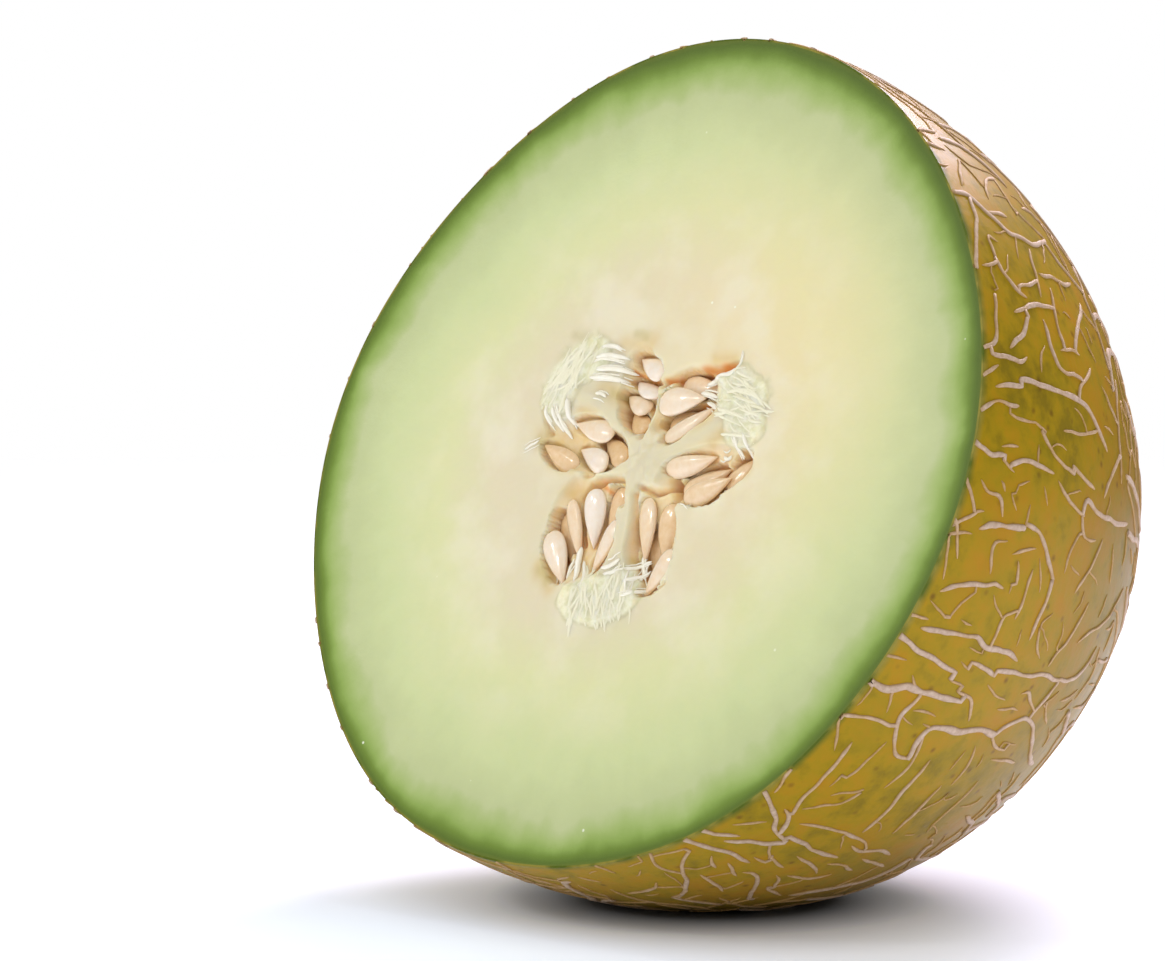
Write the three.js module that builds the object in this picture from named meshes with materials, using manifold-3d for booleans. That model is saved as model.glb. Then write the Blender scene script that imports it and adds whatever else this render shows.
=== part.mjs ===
// The larger half of a netted honeydew melon, cut straight across and resting on a small flat spot.
//
// Millimetres, +Z up. The cut face looks towards -Y and leans back; the origin is on the flat spot.
// Rind, flesh and the white core grew as one piece, so they are one solid. Each seed is a piece of
// its own, lying in one of the six pockets that the three spokes of the core leave between them.

import * as THREE from 'three';
import { mergeVertices } from 'three/addons/utils/BufferGeometryUtils.js';
import Module from 'manifold-3d';

const wasm = await Module();
wasm.setup();

const radians = THREE.MathUtils.degToRad;

// ---- Driving dimensions ---------------------------------------------------------------------

const GIRTH_RADIUS = 76;          // the whole melon's radius at its widest place
const HALF_LENGTH = 88;           // from its middle to the blossom end
const CUT_BEFORE_GIRTH = 14;      // the knife went through this far short of the widest place
const FACE_LEAN = radians(20.6);  // the cut face leans back this far from upright
const FLAT_DEPTH = 1.5;           // the flat spot cuts this far into the round skin

// The skin is not quite round: each wave runs a number of times round the melon, and swings by a
// share of its radius. Angles start at the right of the cut face and turn towards its top.
const SKIN_WAVES = [
  { count: 1, swing: 0.0058, phase: radians(-92) },
  { count: 2, swing: 0.0040, phase: radians(75) },
  { count: 3, swing: 0.0063, phase: radians(-99) },
  { count: 4, swing: 0.0052, phase: radians(-34) },
  { count: 5, swing: 0.0038, phase: radians(111) },
  { count: 6, swing: 0.0026, phase: radians(-19) },
];

// The side it grew lying on is a little fuller towards the blossom end, which holds it up at rest.
const BELLY = { angle: radians(-90), halfAngle: radians(38), depth: 73, halfDepth: 23, swing: 0.022 };

// The blossom left a shallow dip at the far end.
const BLOSSOM_SCAR = { radius: 7, dip: 0.8 };

// How finely the solids are faceted.
const FACETS = { round: 64, alongSkin: 16, pocketRound: 18, pocketDeep: 8 };
const SEED_FACETS = { round: 10, long: 8 };
const BED_FACETS = { round: 8, long: 6 };

// ---- Seeds and their pockets ----------------------------------------------------------------

// A seed is a flat drop, as thick as this and pointed at the end that it hung from. Fullest is the
// share of its width that the pointed outline reaches, so dividing by it gives the seed its whole
// width. Its bed in the flesh leaves it this much room all round.
const SEED = { thickness: 2.0, pointed: 0.42, fullest: 0.92, room: 0.5 };

// Places on the cut face are [right, up] from the middle of the rim, and the third number of a seed's
// end is how deep that end lies behind the face. A pocket is half an egg sunk into the flesh. A seed
// runs from its blunt end to its tip, and is rolled about that line.
const POCKETS = [
  {
    centre: [-0.8, 10.0], half: [8.6, 4.5], turn: 104, depth: 3.6,
    seeds: [
      { blunt: [3.6, 13.0, 0.8], tip: [-4.2, 16.4, 2.6], width: 4.3, roll: 12 },
      { blunt: [3.2, 9.4, 1.3], tip: [-4.4, 12.2, 3.2], width: 4.2, roll: 48 },
      { blunt: [1.6, 6.6, 1.2], tip: [-5.4, 9.6, 3.0], width: 4.2, roll: 30 },
      { blunt: [2.0, 2.9, 1.1], tip: [-4.0, 7.4, 4.2], width: 4.2, roll: 10 },
    ],
  },
  {
    centre: [-10.0, -0.4], half: [10.8, 4.9], turn: 171, depth: 3.6,
    seeds: [
      { blunt: [-4.9, 2.1, 1.0], tip: [-14.9, 3.8, 1.5], width: 4.7, roll: 8 },
      { blunt: [-4.5, -3.8, 0.8], tip: [-12.8, -0.6, 2.2], width: 4.6, roll: -8 },
      { blunt: [-0.9, -2.9, 1.3], tip: [-8.4, 2.0, 3.2], width: 4.5, roll: 0 },
      { blunt: [-12.0, -4.4, 1.6], tip: [-20.8, -0.4, 0.9], width: 4.6, roll: -6 },
    ],
  },
  {
    centre: [-6.2, -15.6], half: [10.4, 8.0], turn: 108, depth: 4.2,
    seeds: [
      { blunt: [-11.1, -10.2, 1.2], tip: [-6.3, -20.2, 2.0], width: 4.5, roll: 24 },
      { blunt: [-5.6, -7.9, 0.9], tip: [-3.7, -18.4, 2.1], width: 4.6, roll: -12 },
      { blunt: [-0.2, -7.0, 2.2], tip: [-1.9, -16.8, 3.6], width: 4.4, roll: 0 },
      { blunt: [1.2, -13.2, 1.1], tip: [-2.4, -22.6, 2.0], width: 4.1, roll: 18 },
      { blunt: [-13.9, -16.1, 1.1], tip: [-8.1, -25.4, 1.5], width: 5.0, roll: -8 },
      { blunt: [-13.2, -11.8, 3.5], tip: [-9.4, -21.4, 4.0], width: 4.6, roll: 0 },
    ],
  },
  {
    centre: [10.6, -16.0], half: [10.0, 5.6], turn: 100, depth: 3.6,
    seeds: [
      { blunt: [6.9, -8.9, 1.2], tip: [9.4, -20.0, 1.7], width: 4.8, roll: 14 },
      { blunt: [12.6, -9.5, 1.6], tip: [12.8, -20.2, 2.8], width: 4.7, roll: -10 },
      { blunt: [15.7, -17.8, 1.1], tip: [11.3, -26.2, 1.7], width: 4.5, roll: 12 },
      { blunt: [9.6, -13.4, 3.7], tip: [10.8, -23.4, 4.1], width: 4.6, roll: 0 },
    ],
  },
  {
    centre: [11.2, 7.9], half: [8.6, 5.0], turn: 25, depth: 3.6,
    seeds: [
      { blunt: [4.1, 8.0, 1.0], tip: [14.0, 9.5, 1.5], width: 5.6, roll: 0 },
      { blunt: [6.8, 11.8, 3.0], tip: [16.2, 11.4, 3.0], width: 4.7, roll: 0 },
      { blunt: [7.3, 1.6, 1.2], tip: [16.6, 7.9, 1.8], width: 4.4, roll: -18 },
      { blunt: [5.6, 4.4, 3.5], tip: [14.8, 7.0, 3.9], width: 4.5, roll: 0 },
    ],
  },
  {
    centre: [18.6, -4.4], half: [10.4, 5.0], turn: 12, depth: 3.6,
    seeds: [
      { blunt: [9.4, -3.9, 1.3], tip: [20.1, -0.9, 1.6], width: 4.2, roll: 20 },
      { blunt: [13.2, -7.2, 2.8], tip: [22.6, -2.6, 3.1], width: 4.6, roll: -8 },
      { blunt: [15.4, -9.2, 1.1], tip: [24.4, -4.4, 1.6], width: 4.4, roll: 12 },
      { blunt: [22.9, -6.4, 2.9], tip: [27.8, 0.0, 3.5], width: 4.4, roll: 0 },
      { blunt: [14.4, -8.0, 4.5], tip: [23.8, -7.6, 4.6], width: 4.6, roll: 0 },
    ],
  },
];

// ---- Materials ------------------------------------------------------------------------------

function fleshMaterial() {
  return new THREE.MeshStandardMaterial({ color: 0xc6d196, roughness: 0.45, metalness: 0 });
}

function seedMaterial() {
  return new THREE.MeshStandardMaterial({ color: 0xe6c79b, roughness: 0.35, metalness: 0 });
}

// ---- Meshes to solids and back --------------------------------------------------------------

function toSolid(geometry) {
  const bare = geometry.clone();
  bare.deleteAttribute('normal');
  bare.deleteAttribute('uv');
  const joined = mergeVertices(bare);
  return new wasm.Manifold(new wasm.Mesh({
    numProp: 3,
    vertProperties: new Float32Array(joined.attributes.position.array),
    triVerts: new Uint32Array(joined.index.array),
  }));
}

function toGeometry(solid) {
  const { vertProperties, triVerts } = solid.getMesh();
  const geometry = new THREE.BufferGeometry();
  geometry.setAttribute('position', new THREE.BufferAttribute(vertProperties, 3));
  geometry.setIndex(new THREE.BufferAttribute(triVerts, 1));
  geometry.computeVertexNormals();
  return geometry;
}

// ---- The melon's own frame ------------------------------------------------------------------
// +Y runs from the middle of the cut face to the blossom end; X and Z lie in the cut face.

function smoothRadius(depth) {
  const along = (depth - CUT_BEFORE_GIRTH) / HALF_LENGTH;
  return GIRTH_RADIUS * Math.sqrt(Math.max(0, 1 - along * along));
}

function hump(distance, halfWidth) {
  return Math.exp(-((distance / halfWidth) ** 2));
}

function skinScale(angle, depth) {
  let scale = 1;
  for (const { count, swing, phase } of SKIN_WAVES) {
    scale += swing * Math.cos(count * angle - phase);
  }
  const turn = Math.atan2(Math.sin(angle - BELLY.angle), Math.cos(angle - BELLY.angle));
  return scale + BELLY.swing * hump(turn, BELLY.halfAngle) * hump(depth - BELLY.depth, BELLY.halfDepth);
}

function skinProfile() {
  const rim = Math.asin(-CUT_BEFORE_GIRTH / HALF_LENGTH);
  const profile = [new THREE.Vector2(0, 0)];
  for (let ring = 0; ring <= FACETS.alongSkin; ring += 1) {
    const latitude = rim + (Math.PI / 2 - rim) * (ring / FACETS.alongSkin);
    const depth = CUT_BEFORE_GIRTH + HALF_LENGTH * Math.sin(latitude);
    const radius = ring === FACETS.alongSkin ? 0 : smoothRadius(depth);
    const inScar = Math.max(0, 1 - (radius / BLOSSOM_SCAR.radius) ** 2);
    profile.push(new THREE.Vector2(radius, Math.max(0, depth - BLOSSOM_SCAR.dip * inScar)));
  }
  return profile;
}

function wholeHalf() {
  const geometry = new THREE.LatheGeometry(skinProfile(), FACETS.round);
  const place = geometry.attributes.position;
  for (let i = 0; i < place.count; i += 1) {
    const scale = skinScale(Math.atan2(place.getZ(i), place.getX(i)), place.getY(i));
    place.setX(i, place.getX(i) * scale);
    place.setZ(i, place.getZ(i) * scale);
  }
  return toSolid(geometry);
}

// ---- Placing the melon on the ground --------------------------------------------------------

// The lowest point of the smooth melon, measured from its middle.
const dropToSkin = Math.hypot(HALF_LENGTH * Math.sin(FACE_LEAN), GIRTH_RADIUS * Math.cos(FACE_LEAN));
const dropToFlat = dropToSkin - FLAT_DEPTH;
const flatAhead = (HALF_LENGTH ** 2 - GIRTH_RADIUS ** 2) * Math.sin(FACE_LEAN) * Math.cos(FACE_LEAN)
  * (dropToFlat / dropToSkin ** 2);

function melonPlace() {
  const place = new THREE.Matrix4().makeRotationX(-FACE_LEAN);
  const middle = new THREE.Vector3(0, CUT_BEFORE_GIRTH, 0).applyMatrix4(place);
  return place.setPosition(-middle.x, -flatAhead - middle.y, dropToFlat - middle.z);
}

// Everything below the ground, as seen from the melon's own frame.
function groundSolid(place) {
  const thickness = 20;
  const ground = new THREE.BoxGeometry(4 * GIRTH_RADIUS, 4 * GIRTH_RADIUS, thickness);
  ground.translate(0, 0, -thickness / 2);
  ground.applyMatrix4(place.clone().invert());
  return toSolid(ground);
}

// ---- Pockets --------------------------------------------------------------------------------

function pocketSolid({ centre, half, turn, depth }) {
  const egg = new THREE.SphereGeometry(1, FACETS.pocketRound, FACETS.pocketDeep);
  egg.scale(half[0], depth, half[1]);
  egg.rotateY(-radians(turn));
  egg.translate(centre[0], 0, centre[1]);
  return toSolid(egg);
}

// ---- Seeds ----------------------------------------------------------------------------------

// Length along X with the tip at +X, thickness along Y, width along Z.
function seedGeometry(length, width, thickness, facets) {
  const geometry = new THREE.SphereGeometry(1, facets.round, facets.long);
  geometry.rotateZ(-Math.PI / 2);
  const place = geometry.attributes.position;
  for (let i = 0; i < place.count; i += 1) {
    const along = place.getX(i);
    const narrowing = (1 - SEED.pointed * (along + 1) / 2 + SEED.pointed / 4) / SEED.fullest;
    place.setXYZ(
      i,
      along * length / 2,
      place.getY(i) * (thickness / 2) * Math.sqrt(narrowing),
      place.getZ(i) * (width / 2) * narrowing,
    );
  }
  return geometry;
}

// Where a seed lies in the melon's frame; with no roll its broad side looks out of the cut face.
function seedPose({ blunt, tip, roll }) {
  const bluntEnd = new THREE.Vector3(blunt[0], blunt[2], blunt[1]);
  const tipEnd = new THREE.Vector3(tip[0], tip[2], tip[1]);
  const along = tipEnd.clone().sub(bluntEnd);
  const length = along.length();
  along.normalize();
  const outward = new THREE.Vector3(0, -1, 0);
  outward.addScaledVector(along, -outward.dot(along)).normalize();
  outward.applyAxisAngle(along, radians(roll));
  const across = new THREE.Vector3().crossVectors(along, outward);
  const pose = new THREE.Matrix4().makeBasis(along, outward, across);
  pose.setPosition(bluntEnd.add(tipEnd).multiplyScalar(0.5));
  return { length, pose };
}

function seedMesh(seed, name) {
  const { length, pose } = seedPose(seed);
  const geometry = seedGeometry(length, seed.width, SEED.thickness, SEED_FACETS);
  const mesh = new THREE.Mesh(geometry, seedMaterial());
  mesh.name = name;
  pose.decompose(mesh.position, mesh.quaternion, mesh.scale);
  return mesh;
}

// The bed that a seed leaves in the flesh: the seed and the room round it.
function seedBed(seed) {
  const { length, pose } = seedPose(seed);
  const room = 2 * SEED.room;
  const bed = seedGeometry(length + room, seed.width + room, SEED.thickness + room, BED_FACETS);
  return toSolid(bed.applyMatrix4(pose));
}

// ---- The half melon -------------------------------------------------------------------------

function melonHalf(place) {
  let solid = wholeHalf().subtract(groundSolid(place));
  for (const pocket of POCKETS) {
    solid = solid.subtract(pocketSolid(pocket));
    for (const seed of pocket.seeds) {
      solid = solid.subtract(seedBed(seed));
    }
  }
  const mesh = new THREE.Mesh(toGeometry(solid), fleshMaterial());
  mesh.name = 'melon_half';
  return mesh;
}

function buildMelon() {
  const place = melonPlace();
  const melon = new THREE.Group();
  place.decompose(melon.position, melon.quaternion, melon.scale);
  melon.add(melonHalf(place));
  const seeds = POCKETS.flatMap((pocket) => pocket.seeds);
  seeds.forEach((seed, i) => {
    melon.add(seedMesh(seed, `seed_${String(i + 1).padStart(2, '0')}`));
  });
  return melon;
}

export default buildMelon();
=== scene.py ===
# %% [markdown]
# # Half a netted melon
#
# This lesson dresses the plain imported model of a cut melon: pale green flesh, a core with seeds in
# six pockets, and an ochre rind covered by a net of cork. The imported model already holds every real
# size, so nothing here is moved or scaled. Each plain solid is stood in for by a finer piece in the
# same place.

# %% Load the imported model
import math
import random

import bpy
import numpy as np
from mathutils import Matrix, Vector, noise


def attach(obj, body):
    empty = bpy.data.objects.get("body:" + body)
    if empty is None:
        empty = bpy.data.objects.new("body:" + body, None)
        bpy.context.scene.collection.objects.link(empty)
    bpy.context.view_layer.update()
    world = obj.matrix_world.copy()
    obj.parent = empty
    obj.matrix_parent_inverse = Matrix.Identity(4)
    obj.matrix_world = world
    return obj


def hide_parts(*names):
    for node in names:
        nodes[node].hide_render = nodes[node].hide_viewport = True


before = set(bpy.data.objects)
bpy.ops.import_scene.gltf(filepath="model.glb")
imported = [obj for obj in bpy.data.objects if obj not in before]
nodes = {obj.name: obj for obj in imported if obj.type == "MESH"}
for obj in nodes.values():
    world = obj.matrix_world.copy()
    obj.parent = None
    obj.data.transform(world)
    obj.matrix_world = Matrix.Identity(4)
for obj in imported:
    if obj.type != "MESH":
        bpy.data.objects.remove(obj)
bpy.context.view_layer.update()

MM = 0.001

# %% [markdown]
# ## The melon's own frame
#
# A melon is easiest to describe from its cut face: right, up the face, and depth behind the cut.
# Apart from the rind's thickness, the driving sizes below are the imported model's own. A point is
# worked out in millimetres in that frame and then leaned back and set on its flat spot, so every
# piece of the lesson lands in the right place without being fitted.

# %% Driving sizes, in millimetres
GIRTH_RADIUS = 76.0
HALF_LENGTH = 88.0
CUT_BEFORE_GIRTH = 14.0
FACE_LEAN = math.radians(20.6)
FLAT_DEPTH = 1.5
RIND_THICKNESS = 0.35
BLOSSOM_SCAR = {"radius": 7.0, "dip": 0.8}

# Each wave runs a number of times round the skin and swings it by a share of its radius.
SKIN_WAVES = [
    (1, 0.0058, -92),
    (2, 0.0040, 75),
    (3, 0.0063, -99),
    (4, 0.0052, -34),
    (5, 0.0038, 111),
    (6, 0.0026, -19),
]
BELLY = {"angle": -90, "half_angle": 38, "depth": 73.0, "half_depth": 23.0, "swing": 0.022}

# %% Where the melon stands
lean_sin = math.sin(FACE_LEAN)
lean_cos = math.cos(FACE_LEAN)
drop_to_skin = math.hypot(HALF_LENGTH * lean_sin, GIRTH_RADIUS * lean_cos)
drop_to_flat = drop_to_skin - FLAT_DEPTH
flat_ahead = (HALF_LENGTH**2 - GIRTH_RADIUS**2) * lean_sin * lean_cos * drop_to_flat / drop_to_skin**2

FACE_MIDDLE = np.array([
    0.0,
    -flat_ahead - CUT_BEFORE_GIRTH * lean_cos,
    drop_to_flat + CUT_BEFORE_GIRTH * lean_sin,
])
FACE_RIGHT = np.array([1.0, 0.0, 0.0])
FACE_UP = np.array([0.0, lean_sin, lean_cos])
INTO_FRUIT = np.array([0.0, lean_cos, -lean_sin])


def to_world(right, up, depth):
    """Points in the row frame, in millimetres, from places on or behind the cut face."""
    right, up, depth = np.broadcast_arrays(right, up, depth)
    return (
        FACE_MIDDLE
        + right[..., None] * FACE_RIGHT
        + up[..., None] * FACE_UP
        + depth[..., None] * INTO_FRUIT
    )


def to_face(points):
    """Right, up and depth of points in the row frame, in millimetres."""
    away = points - FACE_MIDDLE
    return away @ FACE_RIGHT, away @ FACE_UP, away @ INTO_FRUIT


print("middle of the cut face, mm:", FACE_MIDDLE.round(2))

# %% The skin as a formula
def hump(distance, half_width):
    """1 in the middle, falling smoothly to 0 on both sides."""
    return np.exp(-((distance / half_width) ** 2))


def turn_from(middle, angle):
    """The shorter way round to an angle from a middle, which is in degrees."""
    turn = angle - math.radians(middle)
    return np.arctan2(np.sin(turn), np.cos(turn))


def skin_scale(angle, depth):
    """How many times wider the skin is than the plain egg."""
    scale = 1.0
    for count, swing, phase in SKIN_WAVES:
        scale = scale + swing * np.cos(count * angle - math.radians(phase))
    round_belly = hump(turn_from(BELLY["angle"], angle), math.radians(BELLY["half_angle"]))
    along_belly = hump(depth - BELLY["depth"], BELLY["half_depth"])
    return scale + BELLY["swing"] * round_belly * along_belly


def skin(angle, latitude, inset=0.0):
    """Points of the skin. Latitude runs from the rim to 90 degrees at the blossom end."""
    reach = (GIRTH_RADIUS - inset) * np.cos(latitude)
    depth = CUT_BEFORE_GIRTH + (HALF_LENGTH - inset) * np.sin(latitude)
    in_scar = np.maximum(0, 1 - (reach / BLOSSOM_SCAR["radius"]) ** 2)
    reach = reach * skin_scale(angle, depth)
    depth = np.maximum(0, depth - BLOSSOM_SCAR["dip"] * in_scar)
    points = to_world(reach * np.cos(angle), reach * np.sin(angle), depth)
    points[..., 2] = np.maximum(points[..., 2], inset)
    return points


def latitude_of(depth, inset=0.0):
    """The latitude at which the skin lies that far behind the cut."""
    return np.arcsin(np.clip((depth - CUT_BEFORE_GIRTH) / (HALF_LENGTH - inset), -1, 1))


def rim_radius(angle, inset=0.0):
    reach = (GIRTH_RADIUS - inset) * np.cos(latitude_of(0.0, inset))
    return reach * skin_scale(angle, 0.0)


def packed_points(name):
    """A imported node's vertices, in millimetres."""
    mesh = nodes[name].data
    flat = np.zeros(len(mesh.vertices) * 3, np.float32)
    mesh.vertices.foreach_get("co", flat)
    return flat.reshape(-1, 3).astype(float) / MM


packed = packed_points("melon_half")
right, up, depth = to_face(packed)
reach = np.hypot(right, up)
expected = GIRTH_RADIUS * np.cos(latitude_of(depth)) * skin_scale(np.arctan2(up, right), depth)
is_plain_skin = (depth > 1.0) & (reach > 45) & (packed[:, 2] > 0.1)  # off the cut, the scar and the flat
print(f"the packed skin lies within {np.abs(reach - expected)[is_plain_skin].max():.3f} mm of the formula")

# %% [markdown]
# ## Camera, floor and light
#
# A cut melon is usually shown on a white sheet under large soft lamps. The camera looks at the cut
# face from its right, a little above the floor, with a long lens so that the fruit keeps its
# proportions. The world looks white, so the sheet has no visible end, and it lights the fruit more
# from above and from the left. Two large lamps behind the dome brush its upper right side, a weak
# broad one in front evens the cut face, and two small ones on the left leave glints on wet seeds.

# %% Camera
CAMERA = {"azimuth": 44.2, "elevation": 3.39, "distance": 689.0, "aim_right": -7.772, "aim_up": -6.098}
LENS = 123.6
SENSOR_WIDTH = 36.0
NEAREST_SEEN = 0.01  # metres, as Blender counts
FARTHEST_SEEN = 50.0

azimuth = math.radians(CAMERA["azimuth"])
elevation = math.radians(CAMERA["elevation"])
view_right = np.array([math.cos(azimuth), math.sin(azimuth), 0.0])
flat_forward = np.array([-math.sin(azimuth), math.cos(azimuth), 0.0])
view_forward = flat_forward * math.cos(elevation) - np.array([0.0, 0.0, math.sin(elevation)])
view_up = np.cross(view_right, view_forward)
camera_place = (
    FACE_MIDDLE
    + CAMERA["aim_right"] * view_right
    + CAMERA["aim_up"] * view_up
    - CAMERA["distance"] * view_forward
)

camera_data = bpy.data.cameras.new("camera")
camera_data.lens = LENS
camera_data.sensor_width = SENSOR_WIDTH
camera_data.clip_start = NEAREST_SEEN
camera_data.clip_end = FARTHEST_SEEN
camera = bpy.data.objects.new("camera", camera_data)
camera_turn = Matrix(np.column_stack([view_right, view_up, -view_forward]).tolist()).to_4x4()
camera.matrix_world = Matrix.Translation(camera_place * MM) @ camera_turn
bpy.context.scene.collection.objects.link(camera)
bpy.context.scene.camera = camera
print("camera stands at, mm:", camera_place.round(0))

# %% Colours and node helpers
def paint(code):
    """A linear colour from a six-letter colour code."""
    parts = [int(code[i : i + 2], 16) / 255 for i in (0, 2, 4)]
    linear = [x / 12.92 if x <= 0.04045 else ((x + 0.055) / 1.055) ** 2.4 for x in parts]
    return (*linear, 1.0)


def plug(socket, value):
    """Gives a socket a value of its own, or links another node's socket to it."""
    if isinstance(value, bpy.types.NodeSocket):
        socket.id_data.links.new(value, socket)
    else:
        socket.default_value = value


def set_inputs(node, **inputs):
    """Plugs a node's inputs by name, with an underscore for each space."""
    for name, value in inputs.items():
        plug(node.inputs[name.replace("_", " ")], value)


def add_node(tree, kind, settings=None, **inputs):
    made = tree.nodes.new(kind)
    for name, value in (settings or {}).items():
        setattr(made, name, value)
    set_inputs(made, **inputs)
    return made


def new_material(name):
    """A material, its nodes, its shader, and the place on the melon that is being painted."""
    material = bpy.data.materials.new(name)
    material.use_nodes = True
    tree = material.node_tree
    place = add_node(tree, "ShaderNodeTexCoord").outputs["Object"]
    return material, tree, tree.nodes["Principled BSDF"], place


def mix(tree, share, first, second):
    """Blends two colours."""
    made = add_node(tree, "ShaderNodeMix", {"data_type": "RGBA"})
    for number, value in ((0, share), (6, first), (7, second)):
        plug(made.inputs[number], value)
    return made.outputs[2]


def ramp(tree, value, stops):
    """A colour ramp. Stops are pairs of place and colour code."""
    made = add_node(tree, "ShaderNodeValToRGB", Fac=value)
    elements = made.color_ramp.elements
    while len(elements) < len(stops):
        elements.new(1.0)
    for element, (place, code) in zip(elements, stops):
        element.position = place
        element.color = paint(code)
    return made.outputs["Color"]


def math_node(tree, way, first, second):
    made = add_node(tree, "ShaderNodeMath", {"operation": way})
    plug(made.inputs[0], first)
    plug(made.inputs[1], second)
    return made.outputs[0]


def spread(tree, value, low, high, to_low=0.0, to_high=1.0):
    """Maps a value's range to another, and keeps it inside."""
    ends = {"From_Min": low, "From_Max": high, "To_Min": to_low, "To_Max": to_high}
    return add_node(tree, "ShaderNodeMapRange", {"clamp": True}, Value=value, **ends).outputs[0]


def painted(tree, name):
    """A number that the mesh carries at each vertex."""
    return add_node(tree, "ShaderNodeAttribute", {"attribute_name": name}).outputs["Fac"]


def tint(tree, colour, share, code, strength=1.0):
    """Mixes a paint into a colour. Share is a socket, or the name of a number on the mesh."""
    if isinstance(share, str):
        share = painted(tree, share)
    if strength != 1.0:
        share = math_node(tree, "MULTIPLY", share, strength)
    return mix(tree, share, colour, paint(code))


def cloud(tree, vector, size, detail=2.0, roughness=0.5):
    """Noise with patches about that many millimetres across."""
    inputs = {"Vector": vector, "Scale": 1 / (size * MM), "Detail": detail, "Roughness": roughness}
    return add_node(tree, "ShaderNodeTexNoise", **inputs).outputs["Fac"]


def dots(tree, vector, pitch, inner, outer, strength):
    """Round dots, one for each cell of that many millimetres, fading from the inner to the outer size."""
    cells = add_node(tree, "ShaderNodeTexVoronoi", Vector=vector, Scale=1 / (pitch * MM), Randomness=1.0)
    return spread(tree, cells.outputs["Distance"], inner, outer, strength, 0.0)


def raise_surface(tree, shader, height, strength, distance):
    """Adds fine relief. Distance is in millimetres."""
    bump = add_node(tree, "ShaderNodeBump", Height=height, Strength=strength, Distance=distance * MM)
    plug(shader.inputs["Normal"], bump.outputs["Normal"])


# %% Floor
FLOOR_RADIUS = 2600.0
# The sheet changes with the distance from where the fruit rests: from, to, and how much in the end.
PAINTED_CONTACT_SHADOW = (15.0, 40.0, 1.0)  # painted contact shadow: from dark to white
PAINTED_SHEET_GLOW = (22.0, 62.0, 0.3)  # painted glow that lifts the sheet to white away from the fruit
FLOOR_FADE = (260.0, 1500.0, 1.0)  # melts into the white room


def white_sheet():
    material, tree, shader, place = new_material("white_sheet")
    away = add_node(tree, "ShaderNodeVectorMath", {"operation": "LENGTH"}, Vector=place).outputs["Value"]
    changes = (PAINTED_CONTACT_SHADOW, PAINTED_SHEET_GLOW, FLOOR_FADE)
    clear_of_painted_shadow, painted_glow, fade = [spread(tree, away, start * MM, end * MM, 0.0, most) for start, end, most in changes]
    # Painted shadow: the sheet's own colour is dark round where the fruit rests and turns white further out.
    set_inputs(shader, Base_Color=mix(tree, clear_of_painted_shadow, paint("3a3c42"), paint("eaf0fc")), Roughness=0.3)
    # Painted light: the sheet glows by itself away from the fruit, so that it looks white.
    set_inputs(shader, Specular_IOR_Level=0.12, Emission_Color=paint("f4f7ff"), Emission_Strength=painted_glow)
    faded = add_node(tree, "ShaderNodeMixShader", Fac=fade)
    plug(faded.inputs[1], shader.outputs[0])
    plug(faded.inputs[2], add_node(tree, "ShaderNodeBsdfTransparent").outputs[0])
    plug(tree.nodes["Material Output"].inputs["Surface"], faded.outputs[0])
    return material


bpy.ops.mesh.primitive_circle_add(vertices=96, radius=FLOOR_RADIUS * MM, fill_type="NGON")
floor = bpy.context.object
floor.name = "floor"
floor.data.materials.append(white_sheet())
print("floor reaches, mm:", FLOOR_RADIUS)

# %% World and lamps
ROOM_LIGHT = 0.63  # how bright the room is for soft light
ROOM_LIGHT_SLOPE = 0.2 * np.array([0.0, 0.0, 1.0]) - 0.2 * view_right  # brighter above and on the left
ROOM_SHINE = 0.12  # how bright it is for what the shiny surfaces mirror

bpy.context.scene.view_settings.view_transform = "Standard"
world = bpy.data.worlds.new("studio")
world.use_nodes = True
room = world.node_tree
ray = add_node(room, "ShaderNodeLightPath").outputs
looked = add_node(room, "ShaderNodeTexCoord").outputs["Generated"]
sloped = add_node(room, "ShaderNodeVectorMath", {"operation": "DOT_PRODUCT"}, Vector=looked)
sloped.inputs[1].default_value = ROOM_LIGHT_SLOPE
soft_light = math_node(room, "ADD", sloped.outputs["Value"], ROOM_LIGHT)
shine = mix(room, ray["Is Glossy Ray"], soft_light, (ROOM_SHINE,) * 3 + (1,))
strength = mix(room, ray["Is Camera Ray"], shine, (1, 1, 1, 1))
set_inputs(room.nodes["Background"], Color=paint("ffffff"), Strength=strength)
bpy.context.scene.world = world


def lamp(name, right, forward, height, size, watts, tint_code="ffffff"):
    """A soft square lamp. Right and forward are as the camera sees them from the melon, in millimetres."""
    data = bpy.data.lights.new(name, "AREA")
    data.shape = "RECTANGLE"
    data.size = data.size_y = size * MM
    data.energy = watts
    data.color = paint(tint_code)[:3]
    made = bpy.data.objects.new(name, data)
    made.location = (right * view_right + forward * flat_forward + np.array([0, 0, height])) * MM
    aim = Vector(FACE_MIDDLE * MM) - made.location
    made.rotation_mode = "QUATERNION"
    made.rotation_quaternion = aim.to_track_quat("-Z", "Y")
    bpy.context.scene.collection.objects.link(made)


lamp("top_back_lamp", 250, 720, 1300, 700, 11.0)
lamp("sheen_lamp", 470, 900, 860, 500, 14.0, "fbe6fb")
lamp("front_lamp", 60, -1100, 900, 1000, 0.8)
lamp("glint_lamp", -760, -420, 620, 110, 1.0)
lamp("second_glint_lamp", -820, -150, 615, 70, 0.5)

# %% [markdown]
# ## From numbers to a piece
#
# Every piece below is made the same way: its points are worked out with numpy in millimetres, the
# faces join them, and numbers that the material needs, such as the distance from the rim, are kept
# on the vertices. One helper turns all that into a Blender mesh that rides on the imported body.

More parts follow.
